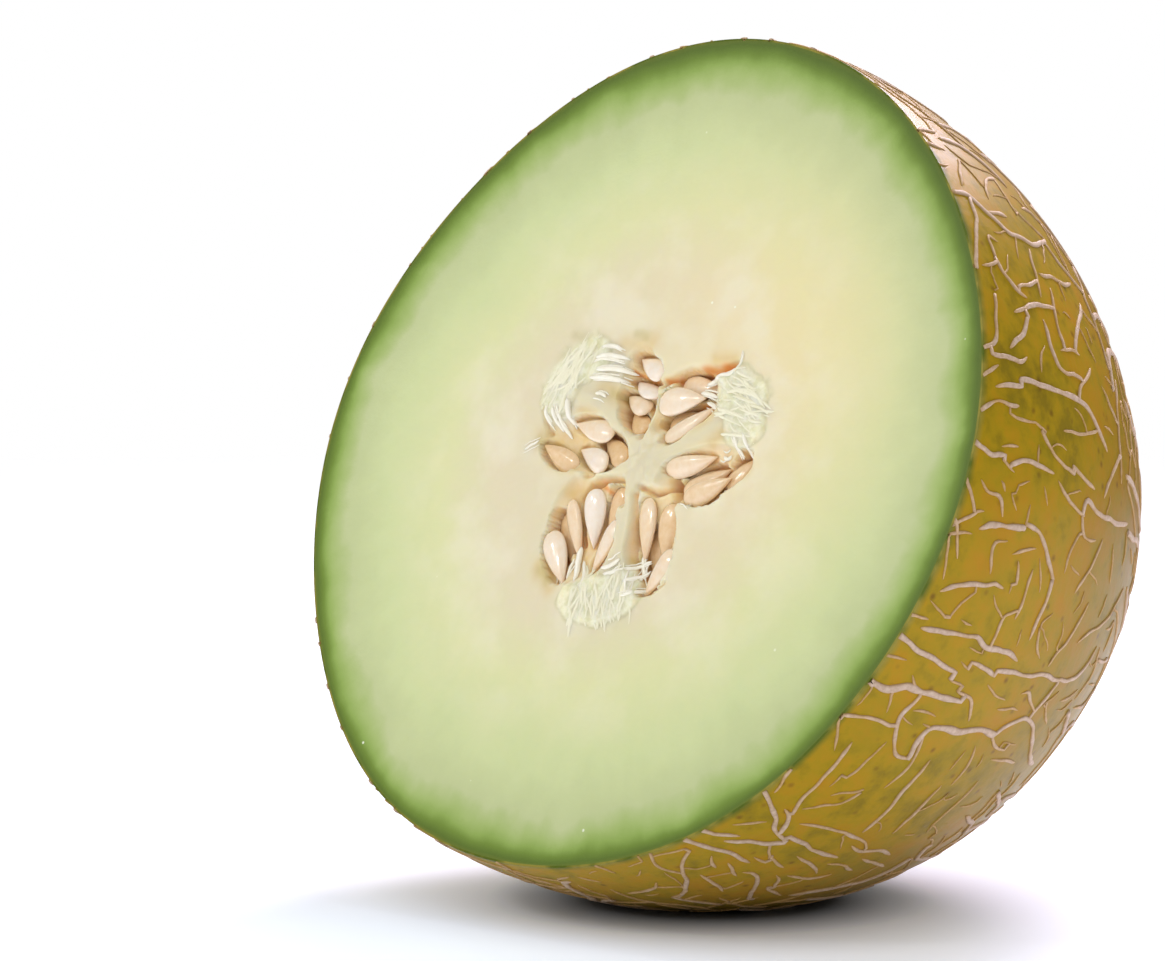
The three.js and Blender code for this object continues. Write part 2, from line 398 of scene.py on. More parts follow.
# %% Making a piece
def make_piece(name, points, faces, material, numbers=None, stands_for=()):
    mesh = bpy.data.meshes.new(name)
    mesh.from_pydata((np.asarray(points) * MM).tolist(), [], faces)
    mesh.validate()
    mesh.polygons.foreach_set("use_smooth", [True] * len(mesh.polygons))
    for key, values in (numbers or {}).items():
        attribute = mesh.attributes.new(key, "FLOAT", "POINT")
        attribute.data.foreach_set("value", np.asarray(values, np.float32))
    mesh.materials.append(material)
    piece = bpy.data.objects.new(name, mesh)
    bpy.context.scene.collection.objects.link(piece)
    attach(piece, "root")
    if stands_for:
        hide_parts(*stands_for)
    print(f"{name}: {sum(len(face.vertices) - 2 for face in mesh.polygons)} triangles")
    return piece


def mark_sharp(piece, vertices):
    """Keeps the edges between these vertices crisp."""
    sharp = piece.data.attributes.new("sharp_edge", "BOOLEAN", "EDGE")
    sharp.data.foreach_set("value", [set(edge.vertices) <= vertices for edge in piece.data.edges])


def ring_faces(first, second, flip=False):
    """Quads between two closed rings with the same number of vertices."""
    quads = list(zip(first, second, second[1:] + second[:1], first[1:] + first[:1]))
    return [quad[::-1] for quad in quads] if flip else quads


def tube(first, count, rows, flip=False):
    """Rings of vertices, numbered from the first on, and the faces from each ring to the next."""
    rings = [list(range(first + k * count, first + (k + 1) * count)) for k in range(rows)]
    return rings, [face for pair in zip(rings, rings[1:]) for face in ring_faces(*pair, flip)]


def speckle(points, size, seed):
    """Smooth noise from -1 to 1 at each point, with features about that many millimetres across."""
    shift = Vector((seed * 17.3, seed * 5.1, seed * 9.7))
    return np.array([noise.noise(Vector(p) / size + shift) for p in points])


# %% [markdown]
# ## The seeds' places
#
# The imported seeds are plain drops. Each one's middle, long axis, thin axis and size are measured
# from its own vertices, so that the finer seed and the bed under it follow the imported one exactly.

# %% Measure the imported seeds
def measure_seed(name):
    points = packed_points(name)
    middle = points.mean(0)
    _, _, (along, across, thin) = np.linalg.svd(points - middle, full_matrices=False)
    if thin @ INTO_FRUIT > 0:
        thin = -thin
    places = (points - middle) @ along
    wide = np.abs((points - middle) @ across)
    if wide[places > 0].max() > wide[places < 0].max():
        along = -along
    axes = np.array([along, np.cross(thin, along), thin])
    local = (points - middle) @ axes.T
    low, high = local.min(0), local.max(0)
    return {"name": name, "middle": middle + ((low + high) / 2) @ axes, "axes": axes, "size": high - low}


seeds = [measure_seed(name) for name in sorted(nodes) if name.startswith("seed_")]
print(len(seeds), "seeds, the first measures, mm:", seeds[0]["size"].round(2))

# %% [markdown]
# ## The core's relief
#
# Where the knife crossed the core it left a landscape: six pockets that the seeds lie in, the three
# pale spokes between them, thin wet crevices along the pockets' edges, and soft lumps of pulp at the
# outer ends. A height over the cut face describes all of it, and a fine grid carries it. Each pocket
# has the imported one's outline, bent a little by noise, because nothing in a fruit is oval. It is less
# deep, because wet pulp fills it round the seeds.

# %% Distances on the cut face
def along_and_across(right, up, degrees):
    """The same places, measured along and across a direction."""
    turn = math.radians(degrees)
    return right * math.cos(turn) + up * math.sin(turn), up * math.cos(turn) - right * math.sin(turn)


def flat_points(right, up):
    return np.stack([right, up, np.zeros_like(right)], -1)


def bent(right, up, swing, size, seed):
    """Places on the cut face, moved a little by noise, so that what is drawn there looks grown."""
    places = flat_points(right, up)
    return right + swing * speckle(places, size, seed), up + swing * speckle(places, size, seed + 1)


def line_distance(right, up, line):
    """Millimetres from each point to a line through the given places."""
    nearest = np.full(np.shape(right), np.inf)
    for start, end in zip(line, line[1:] or line):
        start = np.array(start, float)
        step = np.array(end, float) - start
        length_squared = max(step @ step, 1e-9)
        share = ((right - start[0]) * step[0] + (up - start[1]) * step[1]) / length_squared
        share = np.clip(share, 0, 1)
        gap = np.hypot(right - start[0] - share * step[0], up - start[1] - share * step[1])
        nearest = np.minimum(nearest, gap)
    return nearest


def smooth_step(value, low, high):
    share = np.clip((value - low) / (high - low), 0, 1)
    return share * share * (3 - 2 * share)


def line_share(right, up, line, half_width, edge):
    """1 on a broad line and 0 off it. Edge says from where to where it falls, in half widths."""
    return 1 - smooth_step(line_distance(right, up, line) / half_width, *edge)


# %% Pockets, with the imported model's own numbers
POCKETS = [
    {"centre": (-0.8, 10.0), "half": (8.6, 4.5), "turn": 104, "depth": 3.6},
    {"centre": (-10.0, -0.4), "half": (10.8, 4.9), "turn": 171, "depth": 3.6},
    {"centre": (-6.2, -15.6), "half": (10.4, 8.0), "turn": 108, "depth": 4.2},
    {"centre": (10.6, -16.0), "half": (10.0, 5.6), "turn": 100, "depth": 3.6},
    {"centre": (11.2, 7.9), "half": (8.6, 5.0), "turn": 25, "depth": 3.6},
    {"centre": (18.6, -4.4), "half": (10.4, 5.0), "turn": 12, "depth": 3.6},
]
POCKET_OPEN = 0.52  # the share of each depth that the pulp leaves open
POCKET_WALL = 2.6  # the higher, the flatter the pocket's bottom
POCKET_LIP = 0.62  # the lower, the steeper its edge


def pocket_depth(right, up, pocket):
    middle_right, middle_up = pocket["centre"]
    along, across = along_and_across(right - middle_right, up - middle_up, pocket["turn"])
    away = np.hypot(along / pocket["half"][0], across / pocket["half"][1])
    return POCKET_OPEN * pocket["depth"] * np.clip(1 - away**POCKET_WALL, 0, 1) ** POCKET_LIP


# %% Beds that the seeds press into the flesh
BED_ROOM = 0.2


def bed_depth(right, up, seed):
    """How deep the flesh has to lie to stay clear under a seed."""
    along, across, thin = seed["axes"]
    middle_right, middle_up, middle_depth = to_face(seed["middle"])
    plane = [thin @ FACE_RIGHT, thin @ FACE_UP, thin @ INTO_FRUIT]
    away_right = right - middle_right
    away_up = up - middle_up
    tilt = -(away_right * plane[0] + away_up * plane[1]) / plane[2]
    away = (
        away_right[..., None] * FACE_RIGHT
        + away_up[..., None] * FACE_UP
        + tilt[..., None] * INTO_FRUIT
    )
    half = seed["size"] / 2 + BED_ROOM
    reach = np.hypot(away @ along / half[0], away @ across / half[1])
    dish = np.sqrt(np.clip(1 - reach**2, 0, 1))
    return np.where(reach < 1, middle_depth + tilt + half[2] * dish, 0)


# %% Crevices: a line, how wide and how deep, in millimetres
CREVICES = [
    ([(-8.6, -9.3), (-7.0, -7.3), (-3.5, -6.5), (0.2, -6.3), (1.6, -8.2), (2.0, -10.5)], 0.55, 2.2),
    ([(5.0, -7.4), (8.0, -8.2), (10.6, -7.4), (12.2, -6.2)], 0.55, 1.8),
    ([(11.6, -5.6), (12.8, -7.6), (13.8, -9.8)], 0.8, 2.4),
    ([(4.6, 11.5), (7.5, 12.6), (10.2, 13.7), (14.0, 13.9), (17.2, 14.3), (20.4, 15.0)], 0.7, 2.2),
    ([(-4.0, 13.6), (0.0, 12.3), (3.5, 11.9)], 0.45, 1.5),
    ([(1.7, 8.2), (2.2, 5.2), (2.9, 3.2), (2.4, 2.0)], 0.6, 2.0),
    ([(7.0, 5.0), (10.0, 5.6), (12.4, 7.6), (16.4, 9.4)], 0.5, 1.6),
    ([(7.0, 1.1), (9.0, 0.5), (11.6, 2.0), (13.6, 4.4), (15.8, 7.2)], 0.45, 1.3),
    ([(-4.6, 2.6), (-2.4, 1.4), (-0.8, -0.6), (0.2, -2.4)], 0.5, 1.4),
    ([(4.4, -8.6), (5.2, -13.0), (6.2, -17.2), (8.0, -20.8)], 0.5, 1.6),
    ([(2.1, -17.2), (1.2, -19.6), (-1.2, -22.6)], 0.4, 1.4),
    ([(-9.0, -9.8), (-7.6, -14.0), (-5.8, -17.8)], 0.4, 1.2),
    ([(-22.0, 6.0), (-20.8, 3.4), (-19.6, 1.8)], 0.45, 0.9),
    ([(11.4, -26.6), (13.8, -25.6), (16.2, -23.6)], 0.4, 1.0),
    ([(28.2, -0.6), (28.8, -2.8), (27.4, -4.8)], 0.5, 1.2),
    ([(-3.6, -3.6), (-6.0, -5.0), (-8.4, -5.6)], 0.5, 1.2),
]

# %% Pulp: soft lumps at the outer ends of the pockets
PULP = [
    ([(-19.5, 8.5), (-18.0, 13.0), (-13.5, 15.8)], 4.6, 62),
    ([(-2.5, -27.5), (2.5, -28.0), (7.5, -26.0)], 5.0, 96),
    ([(21.0, 11.0), (25.0, 8.5), (25.5, 4.5)], 5.0, -20),
]
PULP_RISE = 0.9
PULP_EDGE = (0.72, 1.05)
SPOKES = [
    ([(3.2, -1.4), (-3.2, 4.2), (-7.6, 6.6), (-13.5, 8.4)], 1.9),
    ([(4.6, -1.2), (4.0, 4.0), (3.4, 8.0)], 1.4),
    ([(5.4, -2.0), (13.0, 1.0), (19.5, 3.8)], 1.8),
    ([(3.4, -3.4), (3.2, -10.0), (4.2, -17.0), (5.0, -19.5)], 1.9),
    ([(3.0, -3.0), (-3.0, -5.0), (-9.0, -6.2)], 1.2),
    ([(7.0, -4.4), (10.6, -6.0)], 1.6),
]
SPOKE_RISE = 0.35
SPOKE_EDGE = (0.35, 1.15)


# %% The whole relief
ROUGHNESS = 0.35  # millimetres, on the pockets' floors
PULP_LIP = 0.35  # millimetres, the groove round each lump


def core_relief(right, up):
    """How far the cut face lies behind the knife's plane, in millimetres."""
    bend_right, bend_up = bent(right, up, 0.55, 4.0, 1)
    flat_places = flat_points(right, up)
    depth = np.zeros_like(right)
    for pocket in POCKETS:
        depth = np.maximum(depth, pocket_depth(bend_right, bend_up, pocket))
    for seed in seeds:
        depth = np.maximum(depth, bed_depth(right, up, seed))
    rough = speckle(flat_places, 1.6, 3) * 0.5 + speckle(flat_places, 3.2, 4)
    depth = depth + ROUGHNESS * rough * smooth_step(depth, 0.3, 2.0)
    for line, half_width, deep in CREVICES:
        depth = depth + deep * hump(line_distance(bend_right, bend_up, line), half_width)
    shallow = 1 - smooth_step(depth, 0.0, 1.2)
    for spoke in SPOKES:
        depth = depth - SPOKE_RISE * line_share(bend_right, bend_up, *spoke, SPOKE_EDGE) * shallow
    for line, half_width, grain in PULP:
        share = line_share(bend_right, bend_up, line, half_width, PULP_EDGE)
        along, across = along_and_across(right, up, grain)
        threads = speckle(flat_points(along * 0.3, across), 1.1, 5)
        edge = hump(share - 0.35, 0.22)
        depth = depth - PULP_RISE * share * (0.55 + 0.45 * threads) + PULP_LIP * edge * share
    return depth


# %% [markdown]
# ## The flesh
#
# The cut face is one surface from the core to the rim. A square grid bent into a disc gives the core
# small even cells, and plain rings carry on from there to the rim. The skin side is closed with a
# coarse dome, so the flesh is a solid. Its colour depends mostly on how far a place lies from the
# rim: dark green just under the rind, then paler and paler green, then cream round the core.

# %% The grid of the cut face
CORE_CELLS = 176
CORE_MIDDLE = (3.0, -6.0)
CORE_RADIUS = 31.0
FACE_RINGS = 30
COARSE_RINGS = 12
ROUND = 2 * CORE_CELLS
FIRST_ANGLE = -math.pi / 4
round_angles = FIRST_ANGLE + 2 * math.pi * np.arange(ROUND) / ROUND


def disc_grid(cells):
    """A square grid bent into a disc, so that its outermost squares lie on a circle."""
    line = np.linspace(-1, 1, cells + 1)
    across, rise = np.meshgrid(line, line)
    wide = np.abs(across) > np.abs(rise)
    radius = np.where(wide, across, rise)
    safe = np.where(radius == 0, 1, radius)
    angle = np.where(wide, math.pi / 4 * rise / safe, math.pi / 2 - math.pi / 4 * across / safe)
    return (radius * np.cos(angle)).ravel(), (radius * np.sin(angle)).ravel()


def grid_edge(cells):
    """The grid's outermost vertices, in order round the disc from FIRST_ANGLE."""
    side = cells + 1
    edge = [row * side + cells for row in range(cells)]
    edge += [cells * side + column for column in range(cells, 0, -1)]
    edge += [row * side for row in range(cells, 0, -1)]
    return edge + list(range(cells))


def grid_faces(cells):
    side = cells + 1
    corners = [row * side + column for row in range(cells) for column in range(cells)]
    return [(i, i + 1, i + 1 + side, i + side) for i in corners]


def halving_faces(fine, coarse):
    """Faces between a ring and the next one out, which has half as many vertices."""
    made = []
    for i in range(len(coarse)):
        j = (i + 1) % len(coarse)
        before, between, after = fine[2 * i], fine[2 * i + 1], fine[(2 * i + 2) % len(fine)]
        made += [(before, coarse[i], between), (between, coarse[i], coarse[j]), (between, coarse[j], after)]
    return made


def dome_rings(first_index, latitudes, inset):
    """Rings of points from the rim to the blossom end, and the faces that close them there."""
    angles, heights = np.meshgrid(round_angles, latitudes[:-1])
    points = skin(angles, heights, inset).reshape(-1, 3)
    pole = skin(np.array([0.0]), latitudes[-1:], inset)
    rings, faces = tube(first_index, ROUND, len(angles))
    tip = first_index + len(points)
    faces += [(i, tip, j) for i, j in zip(rings[-1], rings[-1][1:] + rings[-1][:1])]
    return np.vstack([points, pole]), faces, rings


# %% Points and faces of the flesh
disc_right, disc_up = disc_grid(CORE_CELLS)
core_right = CORE_MIDDLE[0] + CORE_RADIUS * disc_right
core_up = CORE_MIDDLE[1] + CORE_RADIUS * disc_up
core_points = to_world(core_right, core_up, core_relief(core_right, core_up))

shares = (np.arange(1, FACE_RINGS) / FACE_RINGS)[:, None]
rim_right = rim_radius(round_angles, RIND_THICKNESS) * np.cos(round_angles)
rim_up = rim_radius(round_angles, RIND_THICKNESS) * np.sin(round_angles)
ring_right = (1 - shares) * (CORE_MIDDLE[0] + CORE_RADIUS * np.cos(round_angles)) + shares * rim_right
ring_up = (1 - shares) * (CORE_MIDDLE[1] + CORE_RADIUS * np.sin(round_angles)) + shares * rim_up
ring_points = to_world(ring_right.ravel(), ring_up.ravel(), np.zeros(ring_right.size))

face_rings, face_quads = tube(len(core_points), ROUND, FACE_RINGS - 1)
inner_latitudes = np.linspace(latitude_of(0.0, RIND_THICKNESS), math.pi / 2, COARSE_RINGS + 1)
dome_start = len(core_points) + len(ring_points)
dome_points, dome_faces, inner_dome = dome_rings(dome_start, inner_latitudes, RIND_THICKNESS)
flesh_points = np.vstack([core_points, ring_points, dome_points])
flesh_faces = grid_faces(CORE_CELLS) + halving_faces(grid_edge(CORE_CELLS), face_rings[0])
flesh_faces += face_quads + ring_faces(face_rings[-1], inner_dome[0]) + dome_faces
print("flesh:", len(flesh_points), "points,", len(flesh_faces), "faces")

# %% [markdown]
# ## What colours the core
#
# The core is painted by place: ochre and olive in the hollows, orange along the deepest crevice,
# milky white along the spokes. The ochre, olive and orange are partly the tissue's own tint and
# partly painted shade in the hollows and crevices. Each tint is a soft stroke on the cut face, kept on
# the vertices as a number from 0 to 1, and the material mixes the paints by those numbers.

# %% Tint strokes: a line and its half width in millimetres
TINTS = {
    "milk": SPOKES + [([(2.5, -2.5), (6.5, -1.5)], 3.6)],
    # The ochre, olive and orange strokes lie in hollows, pits and crevices: partly the tissue's own tint,
    # partly painted shade.
    "ochre": [
        ([(-9.0, 10.4), (-5.0, 8.8)], 1.7),
        ([(-13.5, 6.0), (-10.0, 5.2)], 1.1),
        ([(-6.5, 18.2), (-0.5, 18.4)], 1.9),
        ([(-20.0, 0.6), (-15.0, -1.2), (-11.0, -2.6)], 2.6),
        ([(-17.0, -3.4), (-12.0, -4.6)], 2.0),
        ([(15.5, 16.0), (19.0, 16.2)], 1.1),
        ([(-11.5, -8.6), (-7.8, -8.8)], 1.6),
        ([(-14.0, -22.6), (-10.0, -26.6)], 1.5),
        ([(19.2, 1.4), (21.0, 2.6)], 1.2),
        ([(28.0, -1.6), (28.8, -3.6)], 1.2),
        ([(5.2, 4.2), (7.0, 4.6)], 1.3),
        ([(14.6, 4.8), (16.8, 6.2)], 1.3),
    ],
    "olive": [
        ([(-19.6, 19.6), (-15.6, 19.6)], 1.0),
        ([(-4.6, 20.4), (-2.4, 20.0)], 0.9),
        ([(-6.6, 9.2), (-4.8, 8.8)], 1.0),
        ([(-21.0, 0.0), (-19.0, -0.6)], 1.2),
        ([(-13.2, -23.2), (-11.0, -25.4)], 0.9),
        ([(7.0, -20.2), (8.0, -20.0)], 0.9),
        ([(28.2, -2.8)], 1.0),
    ],
    "orange": [
        ([(12.6, 14.0), (19.4, 14.7)], 0.7),
        ([(5.0, 11.8), (12.0, 13.7)], 0.5),
        ([(11.6, 7.2), (13.6, 8.4)], 0.6),
        ([(-4.0, 13.6), (3.0, 12.0)], 0.45),
        ([(-4.4, -7.2), (-2.6, -8.2)], 0.6),
        ([(-6.4, -16.4), (-5.8, -17.6)], 0.7),
    ],
}


def tint_numbers(right, up):
    """How strong each tint is at places on the cut face."""
    bend_right, bend_up = bent(right, up, 0.7, 2.6, 6)
    numbers = {}
    for name, strokes in TINTS.items():
        strengths = [hump(line_distance(bend_right, bend_up, line), width) for line, width in strokes]
        numbers[name] = np.max(strengths, 0)
    lumps = [line_share(bend_right, bend_up, line, width, PULP_EDGE) for line, width, _ in PULP]
    numbers["pulp"] = np.max(lumps, 0)
    numbers["pulp_edge"] = hump(numbers["pulp"] - 0.3, 0.22)
    from_middle = np.hypot(right - CORE_MIDDLE[0], up - CORE_MIDDLE[1])
    numbers["wet"] = 1 - smooth_step(from_middle, 8.0, CORE_RADIUS)
    return numbers


# %% Numbers for the flesh's material
FADE = 45.0  # the paints settle this many millimetres from the rim
DARK_EDGE = 2.2  # about how far the darkest green reaches, in millimetres
HOLLOW = 4.0  # a place this deep counts as wholly hollow
WARM_PLACE = (30, 18)  # creamier flesh, towards the upper right
WARM_REACH = 30
WARM_FROM_RIM = (4.0, 22.0)

flesh_right, flesh_up, flesh_depth = to_face(flesh_points)
flesh_angle = np.arctan2(flesh_up, flesh_right)
on_face = np.arange(len(flesh_points)) < dome_start + ROUND
from_rim = np.where(on_face, rim_radius(flesh_angle) - np.hypot(flesh_right, flesh_up), 1.0)
# The green band is broad at the top and narrow at the left and bottom, and its edge is uneven.
band = 0.95 + 0.46 * hump(turn_from(94, flesh_angle), math.radians(50))
band = band * (1 + 0.3 * speckle(flesh_points, 9.0, 9) + 0.16 * speckle(flesh_points, 3.0, 10))
band = 1 + (band - 1) * hump(from_rim, 16)
edge_share = 0.3 + 0.7 * hump(turn_from(40, flesh_angle), math.radians(85))
warm = hump(np.hypot(flesh_right - WARM_PLACE[0], flesh_up - WARM_PLACE[1]), WARM_REACH)
flesh_numbers = {
    "from_rim": np.clip(from_rim / band / FADE, 0, 1),
    "dark_edge": hump(from_rim / band, DARK_EDGE) * edge_share * on_face,
    "hollow": np.where(on_face, np.clip(flesh_depth / HOLLOW, 0, 1), 0),
    "warm": warm * smooth_step(from_rim, *WARM_FROM_RIM) * on_face,
    "streak_right": np.cos(flesh_angle),
    "streak_up": np.sin(flesh_angle),
}
for name, values in tint_numbers(flesh_right, flesh_up).items():
    flesh_numbers[name] = values * on_face
print("numbers on the flesh:", *flesh_numbers)

# %% The flesh's material
FLESH_PAINTS = [
    (0.00, "66720f"),
    (0.02, "4f6c0d"),
    (0.05, "688726"),
    (0.08, "87a44a"),
    (0.12, "9fb568"),
    (0.20, "bcc690"),
    (0.40, "ccd59e"),
    (0.70, "dadba7"),
    (1.00, "e0d5b5"),
]
DRIFT = (0.3, 0.7, -0.03, 0.03)  # how noise moves a place nearer to the rim's paint or further from it


def flesh_material():
    material, tree, shader, place = new_material("melon_flesh")
    rim_share = painted(tree, "from_rim")
    streak_place = add_node(
        tree,
        "ShaderNodeCombineXYZ",
        X=painted(tree, "streak_right"),
        Y=painted(tree, "streak_up"),
        Z=math_node(tree, "MULTIPLY", rim_share, 0.5),
    ).outputs[0]
    streaks = add_node(tree, "ShaderNodeTexNoise", Vector=streak_place, Scale=14.0, Detail=3.0)
    along_streaks = spread(tree, streaks.outputs["Fac"], *DRIFT)
    drift = math_node(tree, "ADD", along_streaks, spread(tree, cloud(tree, place, 14.0, 3.0), *DRIFT))
    drift = math_node(tree, "MULTIPLY", drift, spread(tree, rim_share, 0.0, 0.35))
    colour = ramp(tree, math_node(tree, "ADD", rim_share, drift), FLESH_PAINTS)
    colour = tint(tree, colour, "dark_edge", "365407", 0.55)
    colour = tint(tree, colour, "warm", "efdcaa", 0.6)
    patches = spread(tree, cloud(tree, place, 11.0, 3.0), 0.45, 0.65, 0.0, 0.45)
    patches = math_node(tree, "MULTIPLY", patches, spread(tree, rim_share, 0.4, 0.9))
    colour = tint(tree, colour, patches, "eee8d0")
    curds = spread(tree, cloud(tree, place, 1.6, 3.0, 0.6), 0.38, 0.62)
    colour = mix(tree, painted(tree, "pulp"), colour, mix(tree, curds, paint("dfdaae"), paint("f0ebcb")))
    colour = tint(tree, colour, "pulp_edge", "c0b986", 0.5)
    colour = tint(tree, colour, "milk", "d9d0b0", 0.8)
    blots = spread(tree, cloud(tree, place, 2.2, 2.0), 0.35, 0.65)
    hollow = painted(tree, "hollow")
    # The pockets turn peach, and darker tan the deeper they are: partly the tissue's own tint, partly painted
    # shade that darkens with depth.
    shallow_paint = mix(tree, blots, paint("f0cf92"), paint("f2d8ac"))
    colour = mix(tree, spread(tree, hollow, 0.06, 0.35, 0.0, 0.9), colour, shallow_paint)
    colour = tint(tree, colour, spread(tree, hollow, 0.45, 1.0, 0.0, 0.8), "dca262")
    # Painted shade along hollows and crevices, partly the tissue's own tint.
    colour = tint(tree, colour, "ochre", "d2ad60", 0.4)
    colour = tint(tree, colour, "olive", "b0a050", 0.35)
    colour = tint(tree, colour, "orange", "e2913e", 0.85)
    # Painted glints: a few tiny pale dots stand for the shine on drops of juice.
    few = spread(tree, cloud(tree, place, 9.0, 1.0), 0.55, 0.60)
    painted_glints = math_node(tree, "MULTIPLY", dots(tree, place, 7.0, 0.025, 0.045, 0.8), few)
    colour = tint(tree, colour, painted_glints, "f3f6e2")
    wet = spread(tree, painted(tree, "wet"), 0.0, 1.0, 0.42, 0.28)
    soft = spread(tree, rim_share, 0.12, 0.45, 0.0, 0.6)
    set_inputs(shader, Base_Color=colour, Roughness=wet, Specular_IOR_Level=0.2, Subsurface_Weight=soft)
    set_inputs(shader, Subsurface_Radius=(1.0, 0.8, 0.42), Subsurface_Scale=3.0 * MM)
    raise_surface(tree, shader, cloud(tree, place, 1.4, 3.0, 0.6), 0.35, 0.25)
    return material


flesh = make_piece(
    "melon_flesh", flesh_points, flesh_faces, flesh_material(), flesh_numbers, ["melon_half"]
)
mark_sharp(flesh, set(inner_dome[0]))

# %% [markdown]
# ## The rind
#
# The peel is a hard skin about a third of a millimetre thick, and the cut shows it as a thin
# green-brown line round the flesh. It is made as a closed shell: the outer skin, an inner one, and
# the narrow band between them in the knife's plane. It could be a plain dome with no thickness, but
# then the line at the rim would have to be painted and would lose its crisp edge. The skin is mottled
# ochre, and towards the blossom end it is painted darker and browner as shade on the dome's far part.

# %% Points and faces of the rind
SKIN_RINGS = 108
FAR_SHADE_DEPTHS = (20.0, 60.0)  # behind the cut: where the painted shade starts to darken the skin, and where it is done
SCAR_EDGE = (3.2, 4.6)

outer_latitudes = np.linspace(latitude_of(0.0), math.pi / 2, SKIN_RINGS + 1)
outer_points, outer_faces, outer_rings = dome_rings(0, outer_latitudes, 0.0)
inner_points, inner_faces, inner_rings = dome_rings(len(outer_points), inner_latitudes, RIND_THICKNESS)
rind_points = np.vstack([outer_points, inner_points])
rind_faces = outer_faces + [face[::-1] for face in inner_faces] + ring_faces(inner_rings[0], outer_rings[0])
rind_right, rind_up, rind_depth = to_face(rind_points)
rind_reach = np.hypot(rind_right, rind_up) + 0.5 * speckle(rind_points, 1.5, 8)
rind_numbers = {
    "on_cut": (rind_depth < 0.01).astype(float),
    "far_side_shade": smooth_step(rind_depth, *FAR_SHADE_DEPTHS),
    "scar": (1 - smooth_step(rind_reach, *SCAR_EDGE)) * (rind_depth > HALF_LENGTH),
}
print("rind:", len(rind_points), "points,", len(rind_faces), "faces")

# %% The rind's material
RIND_PAINTS = [
    (0.36, "846e12"),
    (0.43, "957b10"),
    (0.49, "a28410"),
    (0.55, "a98311"),
    (0.66, "af7f14"),
]
BROAD_SHARE = 0.45  # of the mottling, the rest is fine


def rind_material():
    material, tree, shader, place = new_material("melon_rind")
    broad = math_node(tree, "MULTIPLY", cloud(tree, place, 20.0, 3.0), BROAD_SHARE)
    fine = math_node(tree, "MULTIPLY", cloud(tree, place, 4.0, 4.0, 0.6), 1 - BROAD_SHARE)
    colour = ramp(tree, math_node(tree, "ADD", broad, fine), RIND_PAINTS)
    colour = tint(tree, colour, spread(tree, cloud(tree, place, 9.0, 3.0), 0.48, 0.72, 0.0, 0.3), "877a12")
    # Painted shade: the far part of the dome, towards the blossom end, is darkened and browned.
    colour = tint(tree, colour, "far_side_shade", "5a4408", 0.35)
    chosen = spread(tree, cloud(tree, place, 7.0, 2.0), 0.46, 0.56, 0.0, 0.7)
    specks = math_node(tree, "MULTIPLY", dots(tree, place, 3.2, 0.06, 0.26, 1.0), chosen)
    colour = tint(tree, colour, specks, "6a4714")
    cut_paint = mix(tree, spread(tree, cloud(tree, place, 5.0), 0.4, 0.6), paint("55631d"), paint("8d8236"))
    colour = mix(tree, painted(tree, "on_cut"), colour, cut_paint)
    bark = mix(tree, cloud(tree, place, 0.9, 3.0, 0.6), paint("8f6f3e"), paint("bb9f74"))
    colour = mix(tree, painted(tree, "scar"), colour, bark)
    set_inputs(shader, Base_Color=colour, Roughness=0.36, Specular_IOR_Level=0.09)
    raise_surface(tree, shader, cloud(tree, place, 2.4, 3.0, 0.55), 0.25, 0.3)
    return material


rind = make_piece("melon_rind", rind_points, rind_faces, rind_material(), rind_numbers)
mark_sharp(rind, set(outer_rings[0]) | set(inner_rings[0]))

# %% [markdown]
# ## The seeds
#
# A melon seed is a flat drop: a round blunt end, long straight sides, a point where it hung from its
# thread, and a smooth rim round its margin. Each is swept from an outline and takes the packed
# seed's own place and size. Some seeds are ivory and others tan, so each carries a tone. The tan
# tones go mostly to seeds lying deep in their pockets, so they are partly painted shade.

# %% The seed's shape
SEED_LONG = 26
SEED_ROUND = 20
SEED_BULGE = 1.131  # about the most that the outline formula reaches, so that the width comes out right
MARGIN_DIP = 0.22


def seed_mesh(seed, number):
    """One seed's points, its faces, and how far each point lies from the blunt end to the tip."""
    bend = random.Random(number).uniform(-0.25, 0.25)
    length, width, thickness = seed["size"]
    places = -np.cos(np.linspace(0, math.pi, SEED_LONG + 1))[1:-1]
    half_width = width / 2 * (1 + places) ** 0.42 * (1 - places) / SEED_BULGE
    half_thick = thickness / 2 * np.clip((1 - places**2) ** 0.45 * (1 - 0.25 * places), 0, 1)
    turns = np.linspace(0, 2 * math.pi, SEED_ROUND, endpoint=False)
    flatten = np.sign(np.sin(turns)) * np.abs(np.sin(turns)) ** 0.8
    margin = 1 - MARGIN_DIP * hump(np.abs(np.cos(turns)) - 0.82, 0.12)
    along = np.repeat(places[:, None] * length / 2, SEED_ROUND, 1)
    across = half_width[:, None] * np.cos(turns) + bend * (places[:, None] ** 2 - 0.5)
    rise = half_thick[:, None] * flatten * margin
    ends = [[-length / 2, bend * 0.5, 0], [length / 2, bend * 0.5, 0]]
    local = np.vstack([np.stack([along, across, rise], -1).reshape(-1, 3), ends])
    local[:, 1] = np.clip(local[:, 1], -width / 2, width / 2)
    rings, faces = tube(0, SEED_ROUND, len(places), True)
    blunt, tip = len(local) - 2, len(local) - 1
    for i in range(SEED_ROUND):
        j = (i + 1) % SEED_ROUND
        faces += [(blunt, rings[0][j], rings[0][i]), (tip, rings[-1][i], rings[-1][j])]
    return seed["middle"] + local @ seed["axes"], faces, np.append(places.repeat(SEED_ROUND), [-1, 1])


# %% The seed's material
SEED_PAINTS = [
    (0.0, "f8ebda"),
    (0.3, "f6e2c6"),
    (0.6, "f1d4ab"),
    (1.0, "e4bc84"),
]


